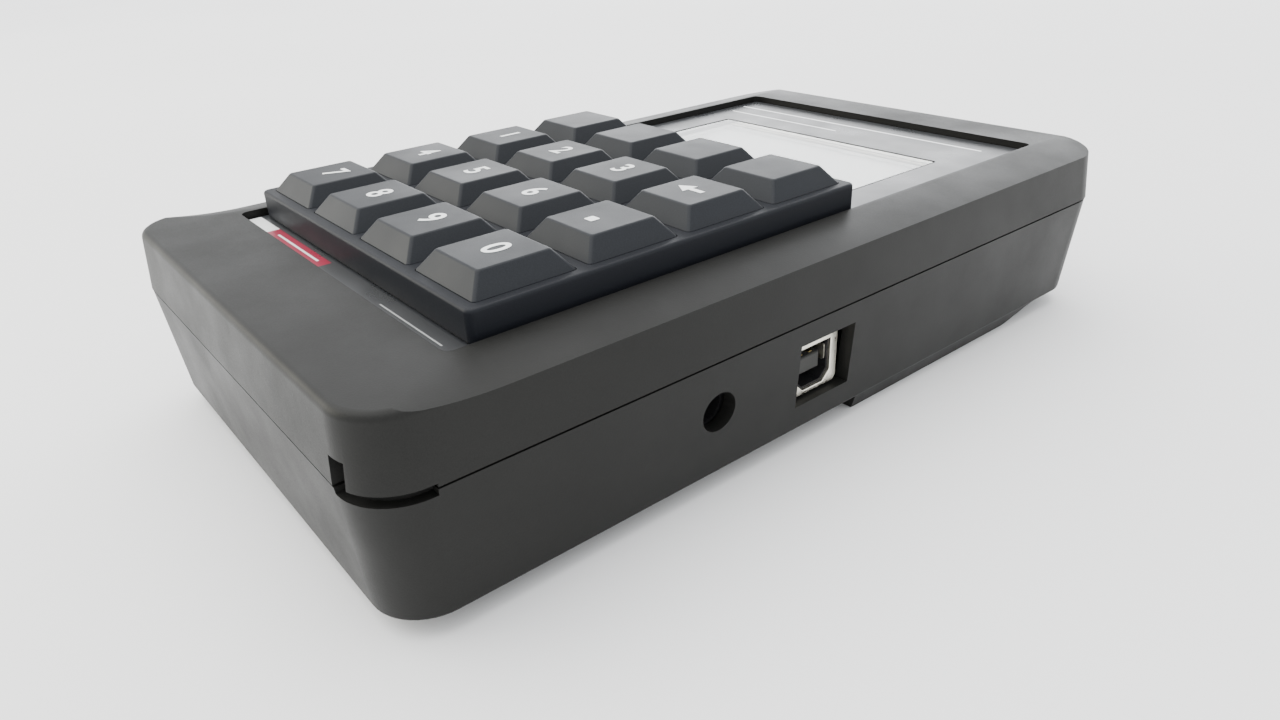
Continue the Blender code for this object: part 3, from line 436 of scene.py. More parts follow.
def cell_sleeve(name, nub_at_back):
    """Battery sleeve: dark blue body, copper band at the nub's end, bare metal ends."""
    skin = Surface(name, 0.3)
    low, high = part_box("battery_1" if nub_at_back else "battery_2")
    y = skin.axis(1)
    end, start = (high.y, low.y) if nub_at_back else (low.y, high.y)
    way = 1.0 if nub_at_back else -1.0
    from_nub = skin.maths("MULTIPLY", skin.maths("SUBTRACT", end, y), way)
    band = skin.spread(from_nub, 1.0, 0.0, 0.0138, 0.014)
    metal = skin.spread(from_nub, 1.0, 0.0, 0.0017, 0.0018)
    foot = skin.spread(from_nub, 0.0, 1.0, abs(end - start) - 0.0008, abs(end - start) - 0.0007)
    bare = skin.maths("MAXIMUM", metal, foot)
    scuff = skin.noise(160.0, 5.0, 0.65)
    body = skin.mix(skin.spread(scuff, 0.0, 0.4, 0.5, 0.8), (0.02, 0.04, 0.13), (0.06, 0.08, 0.18))
    skin.colour(skin.mix(bare, skin.mix(band, body, (0.55, 0.3, 0.16)), (0.66, 0.66, 0.64)))
    skin.wire(skin.maths("MAXIMUM", bare, skin.maths("MULTIPLY", band, 0.7)), skin.shader.inputs["Metallic"])
    skin.rough(skin.spread(scuff, 0.24, 0.42))
    return skin.material


def soft_rubber(name, tone):
    """Dull rubber with dust in its pores."""
    skin = Surface(name, 0.8)
    colour = Vector(tone)
    dust = skin.noise(700.0, 5.0, 0.7)
    skin.colour(skin.mix(skin.spread(dust, 0.0, 0.5, 0.5, 0.8), colour, colour * 1.8 + Vector((0.02,) * 3)))
    skin.rough(skin.spread(dust, 0.7, 0.9))
    skin.bump(skin.noise(2600.0, 3.0), 0.3, 0.00004)
    return skin.material


# --- what a user may change -------------------------------------------------------------------
def size_property(name, description, millimetres, highest):
    """A length that shows in millimetres or metres."""
    return bpy.props.FloatProperty(name=name, description=description, default=millimetres * MM,
                                   min=0.0, max=highest * MM, subtype="DISTANCE", unit="LENGTH")


def colour_property(name, description, colour):
    """A colour that a user can pick."""
    return bpy.props.FloatVectorProperty(name=name, description=description, default=colour, size=3,
                                         min=0.0, max=1.0, subtype="COLOR")


class SimulatorCaseSettings(bpy.types.PropertyGroup):
    """Sizes and colours of the case and its panel."""

    corner: size_property("Corner", "Radius of the case's upright corners", 8.6, 20.0)
    wall: size_property("Wall", "Thickness of the case's walls", 2.5, 5.0)
    draft_top: size_property("Top draft", "How far the top shell leans in", 0.9, 3.0)
    draft_base: size_property("Base draft", "How far the bottom shell leans in", 1.6, 4.0)
    slope_drop: size_property("Slope drop", "Height lost by the sloped long edges", 1.7, 4.0)
    top_edge: size_property("Top edge", "Rounding of the top edge", 1.2, 3.0)
    edge: size_property("Edge", "Rounding of the other edges", 0.35, 1.0)
    notch: size_property("Notch", "Height of the opening notch in the near corner", 4.3, 8.0)
    shell_colour: colour_property("Shell", "Moulded case", (0.0105, 0.0105, 0.0098))
    panel_colour: colour_property("Panel", "Dark satin front panel", (0.03, 0.0315, 0.034))
    band_colour: colour_property("Band", "Printed band on the panel", (0.27, 0.0, 0.03))
    ink_colour: colour_property("Ink", "Pale print on the panel and keys", (0.86, 0.87, 0.86))


class SimulatorKeypadSettings(bpy.types.PropertyGroup):
    """Sizes and colours of the keypad."""

    frame_edge: size_property("Frame edge", "Rounding of the frame's top edge", 0.55, 2.0)
    key_side: size_property("Key side", "How far a key narrows towards its top", 2.45, 4.0)
    key_corner: size_property("Key corner", "Rounding of a key's sloping corners", 0.55, 2.0)
    key_edge: size_property("Key edge", "Rounding of a key's top edge", 0.3, 1.0)
    digit: size_property("Digit", "Height of a printed digit", 4.6, 8.0)
    key_colour: colour_property("Keys", "Key plastic", (0.014, 0.0155, 0.0185))
    frame_colour: colour_property("Frame", "Keypad frame plastic", (0.008, 0.009, 0.012))


# --- the case ------------------------------------------------------------------------------------
def slope_cutter(side, sizes):
    """Wedge that slopes one long edge and runs out sideways at the operator's end."""
    inner = PANEL_HIGH.x + GAP + 0.9 * MM
    outer = TOP_HIGH.x - sizes.draft_top
    reach = TOP_HIGH.x + 2 * MM
    fall = sizes.slope_drop / (outer - inner) * (reach - inner)
    start = FRAME_LOW.y - 1.0 * MM
    wedge = block("slope_cutter", (inner, start, TOP_HIGH.z), (reach, TOP_HIGH.y + MM, TOP_HIGH.z + 3 * MM))
    edit(wedge, "VERT")
    choose(wedge, "verts", lambda v: v.co.x > reach - 1e-5 and v.co.z < TOP_HIGH.z + 1e-5)
    bpy.ops.transform.translate(value=(0, 0, -fall))
    choose(wedge, "faces", lambda f: False)
    leave()
    steps = 12
    run = 18 * MM
    spread_out = TOP_HIGH.x + MM - inner
    edit(wedge, "FACE")
    choose(wedge, "faces", lambda f: f.normal.y < -0.9)
    for step in range(steps):
        across = spread_out * (((step + 1) / steps) ** 2 - (step / steps) ** 2)
        bpy.ops.mesh.extrude_region_move(TRANSFORM_OT_translate={"value": (across, -run / steps, 0.0)})
    leave()
    if side < 0:
        wedge.scale.x = -1
        settle(wedge)
        edit(wedge, "FACE")
        bpy.ops.mesh.select_all(action="SELECT")
        bpy.ops.mesh.normals_make_consistent(inside=False)
        leave()
    return wedge


def corner_gap(sizes, bottom, top):
    """Cutter that opens the seam round the near right corner."""
    depth = 1.9 * MM
    ring = block("corner_gap", (TOP_HIGH.x - sizes.corner - 0.6 * MM, TOP_LOW.y - MM, bottom),
                 (TOP_HIGH.x + MM, TOP_LOW.y + sizes.corner + 0.8 * MM, top))
    carve(ring, slab("core", (TOP_LOW.x + depth, TOP_LOW.y + depth, bottom - MM),
                     (TOP_HIGH.x - depth, TOP_HIGH.y - depth, top + MM), sizes.corner - depth, 10))
    return ring


def screw_places():
    """Centres of the case screws."""
    boxes = [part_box(node) for node in CASE_SCREWS]
    return [((low + high) / 2).xy for low, high in boxes]


class SIMULATOR_OT_top_case(bpy.types.Operator):
    """Model the upper shell: recess, sloped long edges, chin and opening notch"""

    bl_idname = "simulator.top_case"
    bl_label = "Top case"

    def execute(self, context):
        sizes = context.scene.simulator_case
        low, high = TOP_LOW, TOP_HIGH
        shell = slab("top_case", low, high, sizes.corner, 12)
        taper(shell, high.z, 1 - sizes.draft_top / high.x, 1 - sizes.draft_top / high.y)
        bevel(shell, lambda e: all(v.co.z > high.z - 1e-5 for v in e.verts), sizes.top_edge, 4)
        carve(shell, slope_cutter(1, sizes), slope_cutter(-1, sizes))
        ceiling = PANEL_LOW.z - GAP - 2.5 * MM
        wall = sizes.wall
        hollow = slab("hollow", (low.x + wall, low.y + wall, low.z - MM),
                      (high.x - wall, high.y - wall, ceiling), sizes.corner - wall, 8)
        taper(hollow, ceiling, 1 - sizes.draft_top / high.x, 1 - sizes.draft_top / high.y)
        recess = slab("recess", (PANEL_LOW.x - GAP, PANEL_LOW.y - GAP, PANEL_LOW.z - GAP),
                      (PANEL_HIGH.x + GAP, PANEL_HIGH.y + GAP, high.z + MM), 1.5 * MM, 5)
        well = slab("well", (MAT_LOW.x - GAP, MAT_LOW.y - GAP, ceiling - MM),
                    (MAT_HIGH.x + GAP, MAT_HIGH.y + GAP, high.z), 2 * MM, 4)
        light = slab("light", (WINDOW_LOW.x - GAP, WINDOW_LOW.y - GAP, ceiling - MM),
                     (WINDOW_HIGH.x + GAP, WINDOW_HIGH.y + GAP, high.z), 0.8 * MM, 3)
        carve(shell, hollow, recess, well, light)
        for spot in screw_places():
            tall = ceiling + 0.2 * MM - low.z
            carve(shell, rod("boss", (*spot, low.z + tall / 2), 4 * MM, tall), operation="UNION")
            carve(shell, rod("hole", (*spot, low.z + 2 * MM), 1.8 * MM, 8 * MM, segments=20))
        corner = high.x - sizes.corner
        notch = block("notch", (corner - 0.6 * MM, low.y - MM, low.z - MM),
                      (corner + 2.6 * MM, low.y + 2.4 * MM, low.z + sizes.notch))
        lift = corner_gap(sizes, low.z - MM, low.z + 0.5 * MM)
        carve(shell, notch, lift)
        soften(shell, sizes.edge, 3)
        place(shell, CASE, LOOKS["shell"], "case_plastic", "top_shell")
        return {"FINISHED"}


def deep_section(sizes):
    """Deeper part under the display, with its ramp at the back."""
    top = 5.2 * MM
    side = BOTTOM_HIGH.x - 1.45 * MM
    back = BOTTOM_HIGH.y - 1.45 * MM
    piece = block("deep", (-side, 7 * MM, 0), (side, back, top))
    bevel(piece, lambda e: along(e, 2) and middle(e).y > 0.05, sizes.corner, 10)
    edit(piece, "VERT")
    choose(piece, "verts", lambda v: v.co.z < 1e-5)
    bpy.ops.transform.resize(value=(1 - 1.8 * MM / side, 1.0, 1.0), center_override=(0, 0, 0))
    choose(piece, "verts", lambda v: v.co.z < 1e-5 and v.co.y > 0.05)
    bpy.ops.transform.translate(value=(0, DOOR_HIGH.y - back - 6.4 * MM, 0))
    choose(piece, "verts", lambda v: v.co.z < 1e-5 and v.co.y < 0.02)
    bpy.ops.transform.translate(value=(0, 0.5 * MM, 0))
    leave()
    return piece


class SIMULATOR_OT_bottom_case(bpy.types.Operator):
    """Model the lower shell: drafted walls, lip, battery box, screw posts and side openings"""

    bl_idname = "simulator.bottom_case"
    bl_label = "Bottom case"

    def execute(self, context):
        sizes = context.scene.simulator_case
        wide, long = BOTTOM_HIGH.x + 0.15 * MM, BOTTOM_HIGH.y + 0.2 * MM
        seam = TOP_LOW.z - SEAM_GAP
        floor = 3.3 * MM
        wall = sizes.wall
        shell = slab("bottom_case", (-wide, -long, floor), (wide, long, seam), sizes.corner, 12)
        taper(shell, floor, 1 - sizes.draft_base / wide, 1 - sizes.draft_base / long)
        bevel(shell, lambda e: all(v.co.z < floor + 1e-5 for v in e.verts), 0.6 * MM, 3)
        carve(shell, deep_section(sizes), operation="UNION")
        hollow = slab("hollow", (wall - wide, wall - long, floor + wall), (wide - wall, long - wall, seam + MM),
                      sizes.corner - wall, 8)
        taper(hollow, floor + wall, 1 - sizes.draft_base / wide, 1 - sizes.draft_base / long)
        carve(shell, hollow)
        lip = slab("lip", (wall - wide - 0.5 * MM, wall - long - 0.5 * MM, seam - 4 * MM),
                   (wide - wall + 0.5 * MM, long - wall + 0.5 * MM, seam - 0.3 * MM), sizes.corner - wall, 8)
        edit(lip, "FACE")
        choose(lip, "faces", lambda f: f.normal.z > 0.9)
        bpy.ops.mesh.inset(thickness=0.55 * MM)
        bpy.ops.mesh.extrude_region_move(TRANSFORM_OT_translate={"value": (0, 0, 2.3 * MM)})
        leave()
        carve(shell, lip, operation="UNION")
        inside = wall + 1.2 * MM
        bore = slab("bore", (inside - wide, inside - long, seam - 5 * MM),
                    (wide - inside, long - inside, seam + 3 * MM),
                    sizes.corner - inside, 8)
        carve(shell, bore)
        plates = [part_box("contact_plate_front"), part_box("contact_plate_back")]
        room_x = plates[0][1].x + GAP
        room_y = (plates[0][0].y - GAP, plates[1][1].y + GAP)
        roof = plates[0][1].z + GAP
        thick = 1.6 * MM
        carve(shell, block("box", (-room_x - thick, room_y[0] - thick, floor + MM),
                           (room_x + thick, room_y[1] + thick, roof + thick)), operation="UNION")
        for spot in screw_places():
            carve(shell, rod("post", (*spot, (seam + 5 * MM) / 2), 4 * MM, seam - 5 * MM), operation="UNION")
            carve(shell, rod("sink", (*spot, 4.5 * MM), 3.1 * MM, 11 * MM),
                  rod("hole", (*spot, 17 * MM), 1.8 * MM, 16 * MM, segments=20))
        carve(shell, block("room", (-room_x, room_y[0], -MM), (room_x, room_y[1], roof)),
              block("channel", (-room_x, DOOR_LOW.y - GAP, -MM), (room_x, BOTTOM_HIGH.y + MM, DOOR_HIGH.z + GAP)))
        for side in (-1, 1):
            x0, x1 = sorted((side * (room_x - MM), side * (DOOR_HIGH.x + GAP)))
            carve(shell, block("groove", (x0, room_y[0], 0.7 * MM), (x1, BOTTOM_HIGH.y + MM, 2.1 * MM)))
        usb_z = (USB_LOW.z + USB_HIGH.z) / 2
        usb_y = (USB_LOW.y + USB_HIGH.y) / 2 + CUT_SHIFT
        carve(shell, block("usb_cut", (wide - 7 * MM, usb_y - CUT_HALF[0], usb_z - CUT_HALF[1]),
                           (wide + 2 * MM, usb_y + CUT_HALF[0], usb_z + CUT_HALF[1])))
        jack = (JACK_LOW + JACK_HIGH) / 2
        carve(shell, rod("jack_cut", (wide, jack.y, jack.z), JACK_HOLE_R, 14 * MM, "X", 40))
        carve(shell, corner_gap(sizes, seam - 0.9 * MM, seam + MM))
        soften(shell, sizes.edge * 0.7, 2)
        place(shell, CASE, LOOKS["shell"], "case_plastic", "bottom_shell")
        return {"FINISHED"}


class SIMULATOR_OT_door_and_feet(bpy.types.Operator):
    """Model the sliding battery door with its thumb grip, and the two rubber feet"""

    bl_idname = "simulator.door_and_feet"
    bl_label = "Door and feet"

    def execute(self, context):
        sizes = context.scene.simulator_case
        half = DOOR_HIGH.x - 1.2 * MM
        door = block("door_cover", (-half, DOOR_LOW.y, 0), (half, DOOR_HIGH.y, DOOR_HIGH.z))
        edit(door, "VERT")
        choose(door, "verts", lambda v: v.co.z < 1e-5 and v.co.y > DOOR_HIGH.y - 1e-5)
        bpy.ops.transform.translate(value=(0, -6.35 * MM, 0))
        leave()
        flat_end = DOOR_HIGH.y - 6.35 * MM
        for side in (-1, 1):
            x0, x1 = sorted((side * (half - MM), side * DOOR_HIGH.x))
            carve(door, block("rail", (x0, DOOR_LOW.y + GAP, MM), (x1, flat_end, 1.8 * MM)), operation="UNION")
        for step in range(5):
            back = flat_end - 4 * MM - step * 2.4 * MM
            groove = block("grip", (-11 * MM, back - MM, -MM), (11 * MM, back, 0.5 * MM))
            bevel(groove, lambda e: along(e, 2), 0.45 * MM, 4)
            carve(door, groove)
        deselect()
        bpy.ops.mesh.primitive_cylinder_add(vertices=3, radius=3 * MM, depth=2 * MM,
                                            location=(0, flat_end - 21 * MM, -0.6 * MM))
        arrow = context.object
        settle(arrow)
        carve(door, arrow)
        soften(door, sizes.edge * 0.6, 2)
        place(door, "door_body", LOOKS["shell"], "case_plastic", "battery_door")
        for name in ("foot_left", "foot_right"):
            low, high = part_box(name)
            centre = (low + high) / 2
            foot = rod(f"{name}_pad", centre, (high.x - low.x) / 2, high.z - low.z, segments=40)
            bevel(foot, lambda e: all(v.co.z < 1e-5 for v in e.verts), 0.8 * MM, 4)
            edit(foot, "FACE")
            choose(foot, "faces", lambda f: f.normal.z < -0.99)
            bpy.ops.mesh.inset(thickness=1.2 * MM)
            bpy.ops.mesh.inset(thickness=0.3 * MM)
            bpy.ops.transform.translate(value=(0, 0, 0.4 * MM))
            leave()
            shade(foot)
            place(foot, CASE, LOOKS["rubber"], "rubber", name)
        return {"FINISHED"}


# --- panel and window --------------------------------------------------------------------------
class SIMULATOR_OT_panel(bpy.types.Operator):
    """Model the printed panel sheet and the clear window over the display"""

    bl_idname = "simulator.panel"
    bl_label = "Panel and window"

    def execute(self, context):
        sheet = slab("panel_sheet", PANEL_LOW, PANEL_HIGH, 1.2 * MM, 5)
        well = slab("well", (MAT_LOW.x - GAP, MAT_LOW.y - GAP, PANEL_LOW.z - MM),
                    (MAT_HIGH.x + GAP, MAT_HIGH.y + GAP, PANEL_HIGH.z + MM), 2 * MM, 4)
        light = slab("light", (WINDOW_LOW.x - GAP, WINDOW_LOW.y - GAP, PANEL_LOW.z - MM),
                     (WINDOW_HIGH.x + GAP, WINDOW_HIGH.y + GAP, PANEL_HIGH.z + MM), 0.8 * MM, 4)
        carve(sheet, well, light)
        soften(sheet, 0.12 * MM, 2)
        place(sheet, CASE, LOOKS["panel"], "panel_sheet", "front_panel")
        window = slab("window_pane", WINDOW_LOW, WINDOW_HIGH, 0.7 * MM, 4)
        soften(window, 0.2 * MM, 2)
        place(window, CASE, LOOKS["window"], "window_clear", "display_window")
        edge = 0.26 * MM
        gasket = slab("window_gasket", (WINDOW_LOW.x - edge, WINDOW_LOW.y - edge, WINDOW_LOW.z),
                      (WINDOW_HIGH.x + edge, WINDOW_HIGH.y + edge, WINDOW_HIGH.z - 0.15 * MM), 0.8 * MM, 4)
        edge = 0.03 * MM
        carve(gasket, slab("pane_room", (WINDOW_LOW.x - edge, WINDOW_LOW.y - edge, WINDOW_LOW.z - MM),
                           (WINDOW_HIGH.x + edge, WINDOW_HIGH.y + edge, WINDOW_HIGH.z + MM), 0.7 * MM, 4))
        shade(gasket)
        place(gasket, CASE, LOOKS["black"], "black_plastic")
        return {"FINISHED"}


# --- keypad --------------------------------------------------------------------------------------
def key_centre(node):
    """Middle of a key."""
    low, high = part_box(node)
    return (low + high) / 2


class SIMULATOR_OT_keypad_frame(bpy.types.Operator):
    """Model the raised frame with its wells for the keys"""

    bl_idname = "simulator.keypad_frame"
    bl_label = "Keypad frame"

    def execute(self, context):
        sizes = context.scene.simulator_keypad
        top = FRAME_HIGH.z
        body = slab("keypad_surround", FRAME_LOW, FRAME_HIGH, 1.4 * MM, 6)
        bevel(body, lambda e: all(v.co.z > top - 1e-5 for v in e.verts), sizes.frame_edge, 5)
        wall = 1.05 * MM
        carve(body, slab("hollow", (FRAME_LOW.x + wall, FRAME_LOW.y + wall, FRAME_LOW.z - MM),
                         (FRAME_HIGH.x - wall, FRAME_HIGH.y - wall, top - 1.5 * MM), 0.35 * MM, 3))
        half = 8.6 * MM
        for node in KEY_NAMES:
            spot = key_centre(node)
            carve(body, slab("key_well", (spot.x - half, spot.y - half, top - 3 * MM),
                             (spot.x + half, spot.y + half, top + MM), 0.8 * MM, 3))
        soften(body, 0.18 * MM, 2)
        place(body, CASE, LOOKS["frame"], "frame_plastic", "keypad_frame")
        return {"FINISHED"}


def model_key(sizes):
    """One hollow key about the origin of its row: flange, skirt, sloping sides and flat top."""
    low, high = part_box(KEY_NAMES[0])
    flange = (high.x - low.x) / 2
    base = flange - 0.6 * MM
    top = base - sizes.key_side
    key = block("key_model", (-flange, -flange, low.z), (flange, flange, low.z + 0.9 * MM))
    edit(key, "FACE")
    choose(key, "faces", lambda f: f.normal.z > 0.9)
    bpy.ops.mesh.inset(thickness=0.6 * MM)
    bpy.ops.mesh.extrude_region_move(TRANSFORM_OT_translate={"value": (0, 0, FRAME_HIGH.z - low.z - 0.9 * MM)})
    bpy.ops.mesh.extrude_region_move(TRANSFORM_OT_translate={"value": (0, 0, high.z - FRAME_HIGH.z)})
    bpy.ops.transform.resize(value=(top / base, top / base, 1), center_override=(0, 0, high.z))
    choose(key, "faces", lambda f: f.normal.z < -0.9)
    bpy.ops.mesh.inset(thickness=2.1 * MM)
    bpy.ops.mesh.extrude_region_move(TRANSFORM_OT_translate={"value": (0, 0, FRAME_HIGH.z - low.z)})
    bpy.ops.mesh.extrude_region_move(TRANSFORM_OT_translate={"value": (0, 0, 1.4 * MM)})
    bpy.ops.transform.resize(value=(0.8, 0.8, 1), center_override=(0, 0, FRAME_HIGH.z + 1.4 * MM))
    leave()

    def sloping(edge):
        spot = middle(edge)
        return spot.z > low.z + MM and abs(abs(spot.x) - abs(spot.y)) < 1e-5 and abs(spot.x) > top and \
            min(abs(v.co.x) for v in edge.verts) > top - 1e-5 and edge.verts[0].co.z != edge.verts[1].co.z

    bevel(key, sloping, sizes.key_corner, 4)
    bevel(key, lambda e: all(v.co.z > high.z - 1e-5 for v in e.verts), sizes.key_edge, 3)
    reach = low.z + 0.7 * MM
    stem_top = FRAME_HIGH.z + 1.8 * MM
    carve(key, rod("plunger", (0, 0, (reach + stem_top) / 2), 2.5 * MM, stem_top - reach, segments=20),
          operation="UNION")
    shade(key, 25.0)
    return key


class SIMULATOR_OT_keys(bpy.types.Operator):
    """Model one key and copy it to each of the sixteen wells"""

    bl_idname = "simulator.keys"
    bl_label = "Keys"

    def execute(self, context):
        model = model_key(context.scene.simulator_keypad)
        for node in KEY_NAMES:
            spot = key_centre(node)
            key = copy_of(model, f"{node}_cap", (spot.x, spot.y, 0.0))
            place(key, f"{node}_body", LOOKS["key"], "key_plastic", node)
        bpy.data.objects.remove(model, do_unlink=True)
        return {"FINISHED"}


def printed_digit(text, height, spot):
    """A digit as a thin printed layer, its top towards the display."""
    deselect()
    bpy.ops.object.text_add(location=spot)
    letter = bpy.context.object
    letter.data.body = text
    letter.data.size = height * 1.38
    letter.data.align_x = "CENTER"
    letter.data.align_y = "CENTER"
    letter.data.offset = DIGIT_STROKE
    letter.data.extrude = 0.015 * MM
    focus(letter)
    bpy.ops.object.convert(target="MESH")
    piece = bpy.context.object
    settle(piece)
    edit(piece, "VERT")
    bpy.ops.mesh.select_all(action="SELECT")
    bpy.ops.mesh.remove_doubles(threshold=0.001 * MM)
    bpy.ops.mesh.normals_make_consistent(inside=False)
    leave()
    return piece


def printed_arrow(spot):
    """An arrow that points to the operator's left."""
    shaft = block("shaft", spot + Vector((-1.2, -0.5, -0.015)) * MM, spot + Vector((2.6, 0.5, 0.015)) * MM)
    deselect()
    bpy.ops.mesh.primitive_cylinder_add(vertices=3, radius=1.95 * MM, depth=0.03 * MM, rotation=(0, 0, pi / 2),
                                        location=spot + Vector((-1.4, 0, 0)) * MM)
    head = bpy.context.object
    settle(head)
    carve(shaft, head, operation="UNION")
    return shaft


class SIMULATOR_OT_legends(bpy.types.Operator):
    """Print digits, point and arrow on the key tops"""

    bl_idname = "simulator.legends"
    bl_label = "Key legends"

    def execute(self, context):
        sizes = context.scene.simulator_keypad
        for node in KEY_NAMES:
            what = node.removeprefix("key_")
            spot = key_centre(node)
            spot.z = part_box(node)[1].z + 0.03 * MM
            if what.isdigit():
                piece = printed_digit(what, sizes.digit, spot + Vector((0.3 * MM, 0.2 * MM, 0)))
            elif what == "point":
                piece = block("point", spot + Vector((-0.95, -2.4, -0.015)) * MM,
                              spot + Vector((0.95, -0.6, 0.015)) * MM)
                bevel(piece, lambda e: along(e, 2), 0.25 * MM, 3)
            elif what == "back":
                piece = printed_arrow(spot)
            else:
                continue
            piece.name = f"legend_{what}"
            place(piece, f"{node}_body", LOOKS["ink"], "key_plastic")
        return {"FINISHED"}


# --- sockets -------------------------------------------------------------------------------------
class SIMULATOR_OT_sockets(bpy.types.Operator):
    """Model the data socket with its folded metal shell, tongue and contacts"""

    bl_idname = "simulator.sockets"
    bl_label = "Sockets"

    def execute(self, context):
        centre = (USB_LOW + USB_HIGH) / 2
        front = USB_HIGH.x
        level = centre.z - MOUTH_DROP
        shell = block("data_socket", USB_LOW, USB_HIGH)
        bevel(shell, lambda e: along(e, 0) and middle(e).z < centre.z, 1.3 * MM, 4)
        bevel(shell, lambda e: along(e, 0) and middle(e).z > centre.z + 4 * MM, 0.4 * MM, 3)
        mouth = block("mouth", (front - 12 * MM, centre.y - MOUTH_HALF[0], level - MOUTH_HALF[1]),
                      (front + MM, centre.y + MOUTH_HALF[0], level + MOUTH_HALF[1]))
        bevel(mouth, lambda e: along(e, 0) and middle(e).z < level, MOUTH_CORNER, 1)
        carve(shell, mouth)
        soften(shell, 0.3 * MM, 3)
        place(shell, CASE, LOOKS["socket"], "steel", "usb_shell")
        liner = block("socket_liner", (front - 11.8 * MM, centre.y - 4.2 * MM, level - 3.87 * MM),
                      (front - 0.6 * MM, centre.y + 4.2 * MM, level + 3.87 * MM))
        bevel(liner, lambda e: along(e, 0) and middle(e).z < level, MOUTH_CORNER, 1)
        throat = block("throat", (front - 11 * MM, centre.y - 3.85 * MM, level - 3.5 * MM),
                       (front + MM, centre.y + 3.85 * MM, level + 3.5 * MM))
        bevel(throat, lambda e: along(e, 0) and middle(e).z < level, 1.55 * MM, 1)
        carve(liner, throat)
        shade(liner)
        place(liner, CASE, LOOKS["black"], "black_plastic")
        low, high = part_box("usb_tongue")
        tongue = block("socket_tongue", low, high)
        bevel(tongue, lambda e: middle(e).x > high.x - 1e-5, 0.45 * MM, 3)
        shade(tongue)
        place(tongue, CASE, LOOKS["tongue"], "black_plastic", "usb_tongue")
        for index, (y, z) in enumerate(((-1.25, 1), (1.25, 1), (-1.25, -1), (1.25, -1)), 1):
            surface = high.z if z > 0 else low.z
            strip = block(f"socket_contact_{index}",
                          (low.x + 0.4 * MM, centre.y + (y - 0.5) * MM, surface + min(0, z) * 0.15 * MM),
                          (high.x - 0.7 * MM, centre.y + (y + 0.5) * MM, surface + max(0, z) * 0.15 * MM))
            bevel(strip, lambda e: along(e, 2), 0.15 * MM, 2)
            place(strip, CASE, LOOKS["gold"], "steel")
        spring = block("socket_spring", (front - 9 * MM, centre.y + 3.5 * MM, level - 0.4 * MM),
                       (front - 0.9 * MM, centre.y + 3.8 * MM, level + 2.6 * MM))
        bevel(spring, lambda e: along(e, 1), 0.4 * MM, 3)
        place(spring, CASE, LOOKS["socket"], "steel")
        return {"FINISHED"}


# --- carried-over pieces ---------------------------------------------------------------------------
class SIMULATOR_OT_inside(bpy.types.Operator):
    """Give the pieces that keep their frame shape their finishes"""

    bl_idname = "simulator.inside"
    bl_label = "Inside pieces"

    def execute(self, context):
        finishes = {
            "steel": ["display_bezel", "contact_plate_front", "contact_plate_back"],
            "pin": ["dc_jack_pin"],
            "black": ["processor", "keypad_header", "display_header", "dc_jack_body"],
            "board": ["display_board", "keypad_board", "main_board"],
            "display": ["display_glass"],
            "silicone": ["dome_mat"],
            "cell_back": ["battery_1", "battery_3"],
            "cell_front": ["battery_2", "battery_4"],
        }
        finishes["steel"] += [f"{name}_{number}" for name in ("spacer", "board_screw", "battery_spring", "case_screw")
                              for number in range(1, 5)]
        for look, nodes in finishes.items():
            for node in nodes:
                for material_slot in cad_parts[node].material_slots:
                    material_slot.material = LOOKS[look]
        return {"FINISHED"}


# --- stage -----------------------------------------------------------------------------------------
def softbox(name, place_at, aim, size, power, colour):
    """A rectangular area light aimed at a point."""
    deselect()
    bpy.ops.object.light_add(type="AREA", location=place_at)
    lamp = bpy.context.object
    lamp.name = name
    lamp.data.shape = "RECTANGLE"
    lamp.data.size, lamp.data.size_y = size
    lamp.data.energy = power
    lamp.data.color = colour
    lamp.visible_camera = False
    way = Vector(aim) - Vector(place_at)
    lamp.rotation_euler = way.to_track_quat("-Z", "Y").to_euler()


class SIMULATOR_OT_stage(bpy.types.Operator):
    """Make the pale floor, the soft studio light and the camera"""

    bl_idname = "simulator.stage"
    bl_label = "Stage"

    def execute(self, context):
        deselect()
        bpy.ops.mesh.primitive_plane_add(size=40.0, location=(0, 0, -0.0002))
        floor = context.object
        floor.name = "pale_floor"
        skin = Surface("floor_paint", 0.9)
        skin.colour(skin.mix(skin.spread(skin.noise(3.0, 4.0), 0.0, 1.0), (0.86, 0.86, 0.86), (0.9, 0.9, 0.9)))
        floor.data.materials.append(skin.material)
        world = bpy.data.worlds.new("studio")
        world.use_nodes = True
        sky = world.node_tree.nodes["Background"]
        sky.inputs["Color"].default_value = (0.97, 0.985, 1.0, 1.0)
        sky.inputs["Strength"].default_value = 1.8
        context.scene.world = world
        deselect()
        bpy.ops.object.light_add(type="SUN", location=(-0.3, -0.2, 1.0))
        lamp = context.object
        lamp.name = "overhead_light"
        lamp.rotation_euler = Vector((0.3, 0.1, -1.0)).to_track_quat("-Z", "Y").to_euler()
        lamp.data.angle = radians(75.0)
        lamp.data.energy = 3.4
        lamp.data.color = (1.0, 0.995, 0.98)
        softbox("near_left_light", (-0.55, -0.55, 0.3), (0, -0.03, 0.02), (0.6, 0.4), 3.2, (1.0, 0.96, 0.80))
        softbox("far_light", (-0.86, 1.23, 0.42), (0, 0, 0.03), (1.9, 0.75), 15.0, (0.96, 0.98, 1.0))
        deselect()
        bpy.ops.object.camera_add()
        camera = context.object
        camera.name = "camera"
        camera.data.sensor_width = 36.0
        camera.data.lens = 894.44 * 36.0 / 1280.0
        camera.data.clip_start = 0.005
        right, down, ahead = CAMERA_AXES
        turn = Matrix((right, -down, -ahead)).transposed()
        camera.matrix_world = Matrix.Translation(CAMERA_PLACE) @ turn.to_4x4()
        context.scene.camera = camera
        return {"FINISHED"}


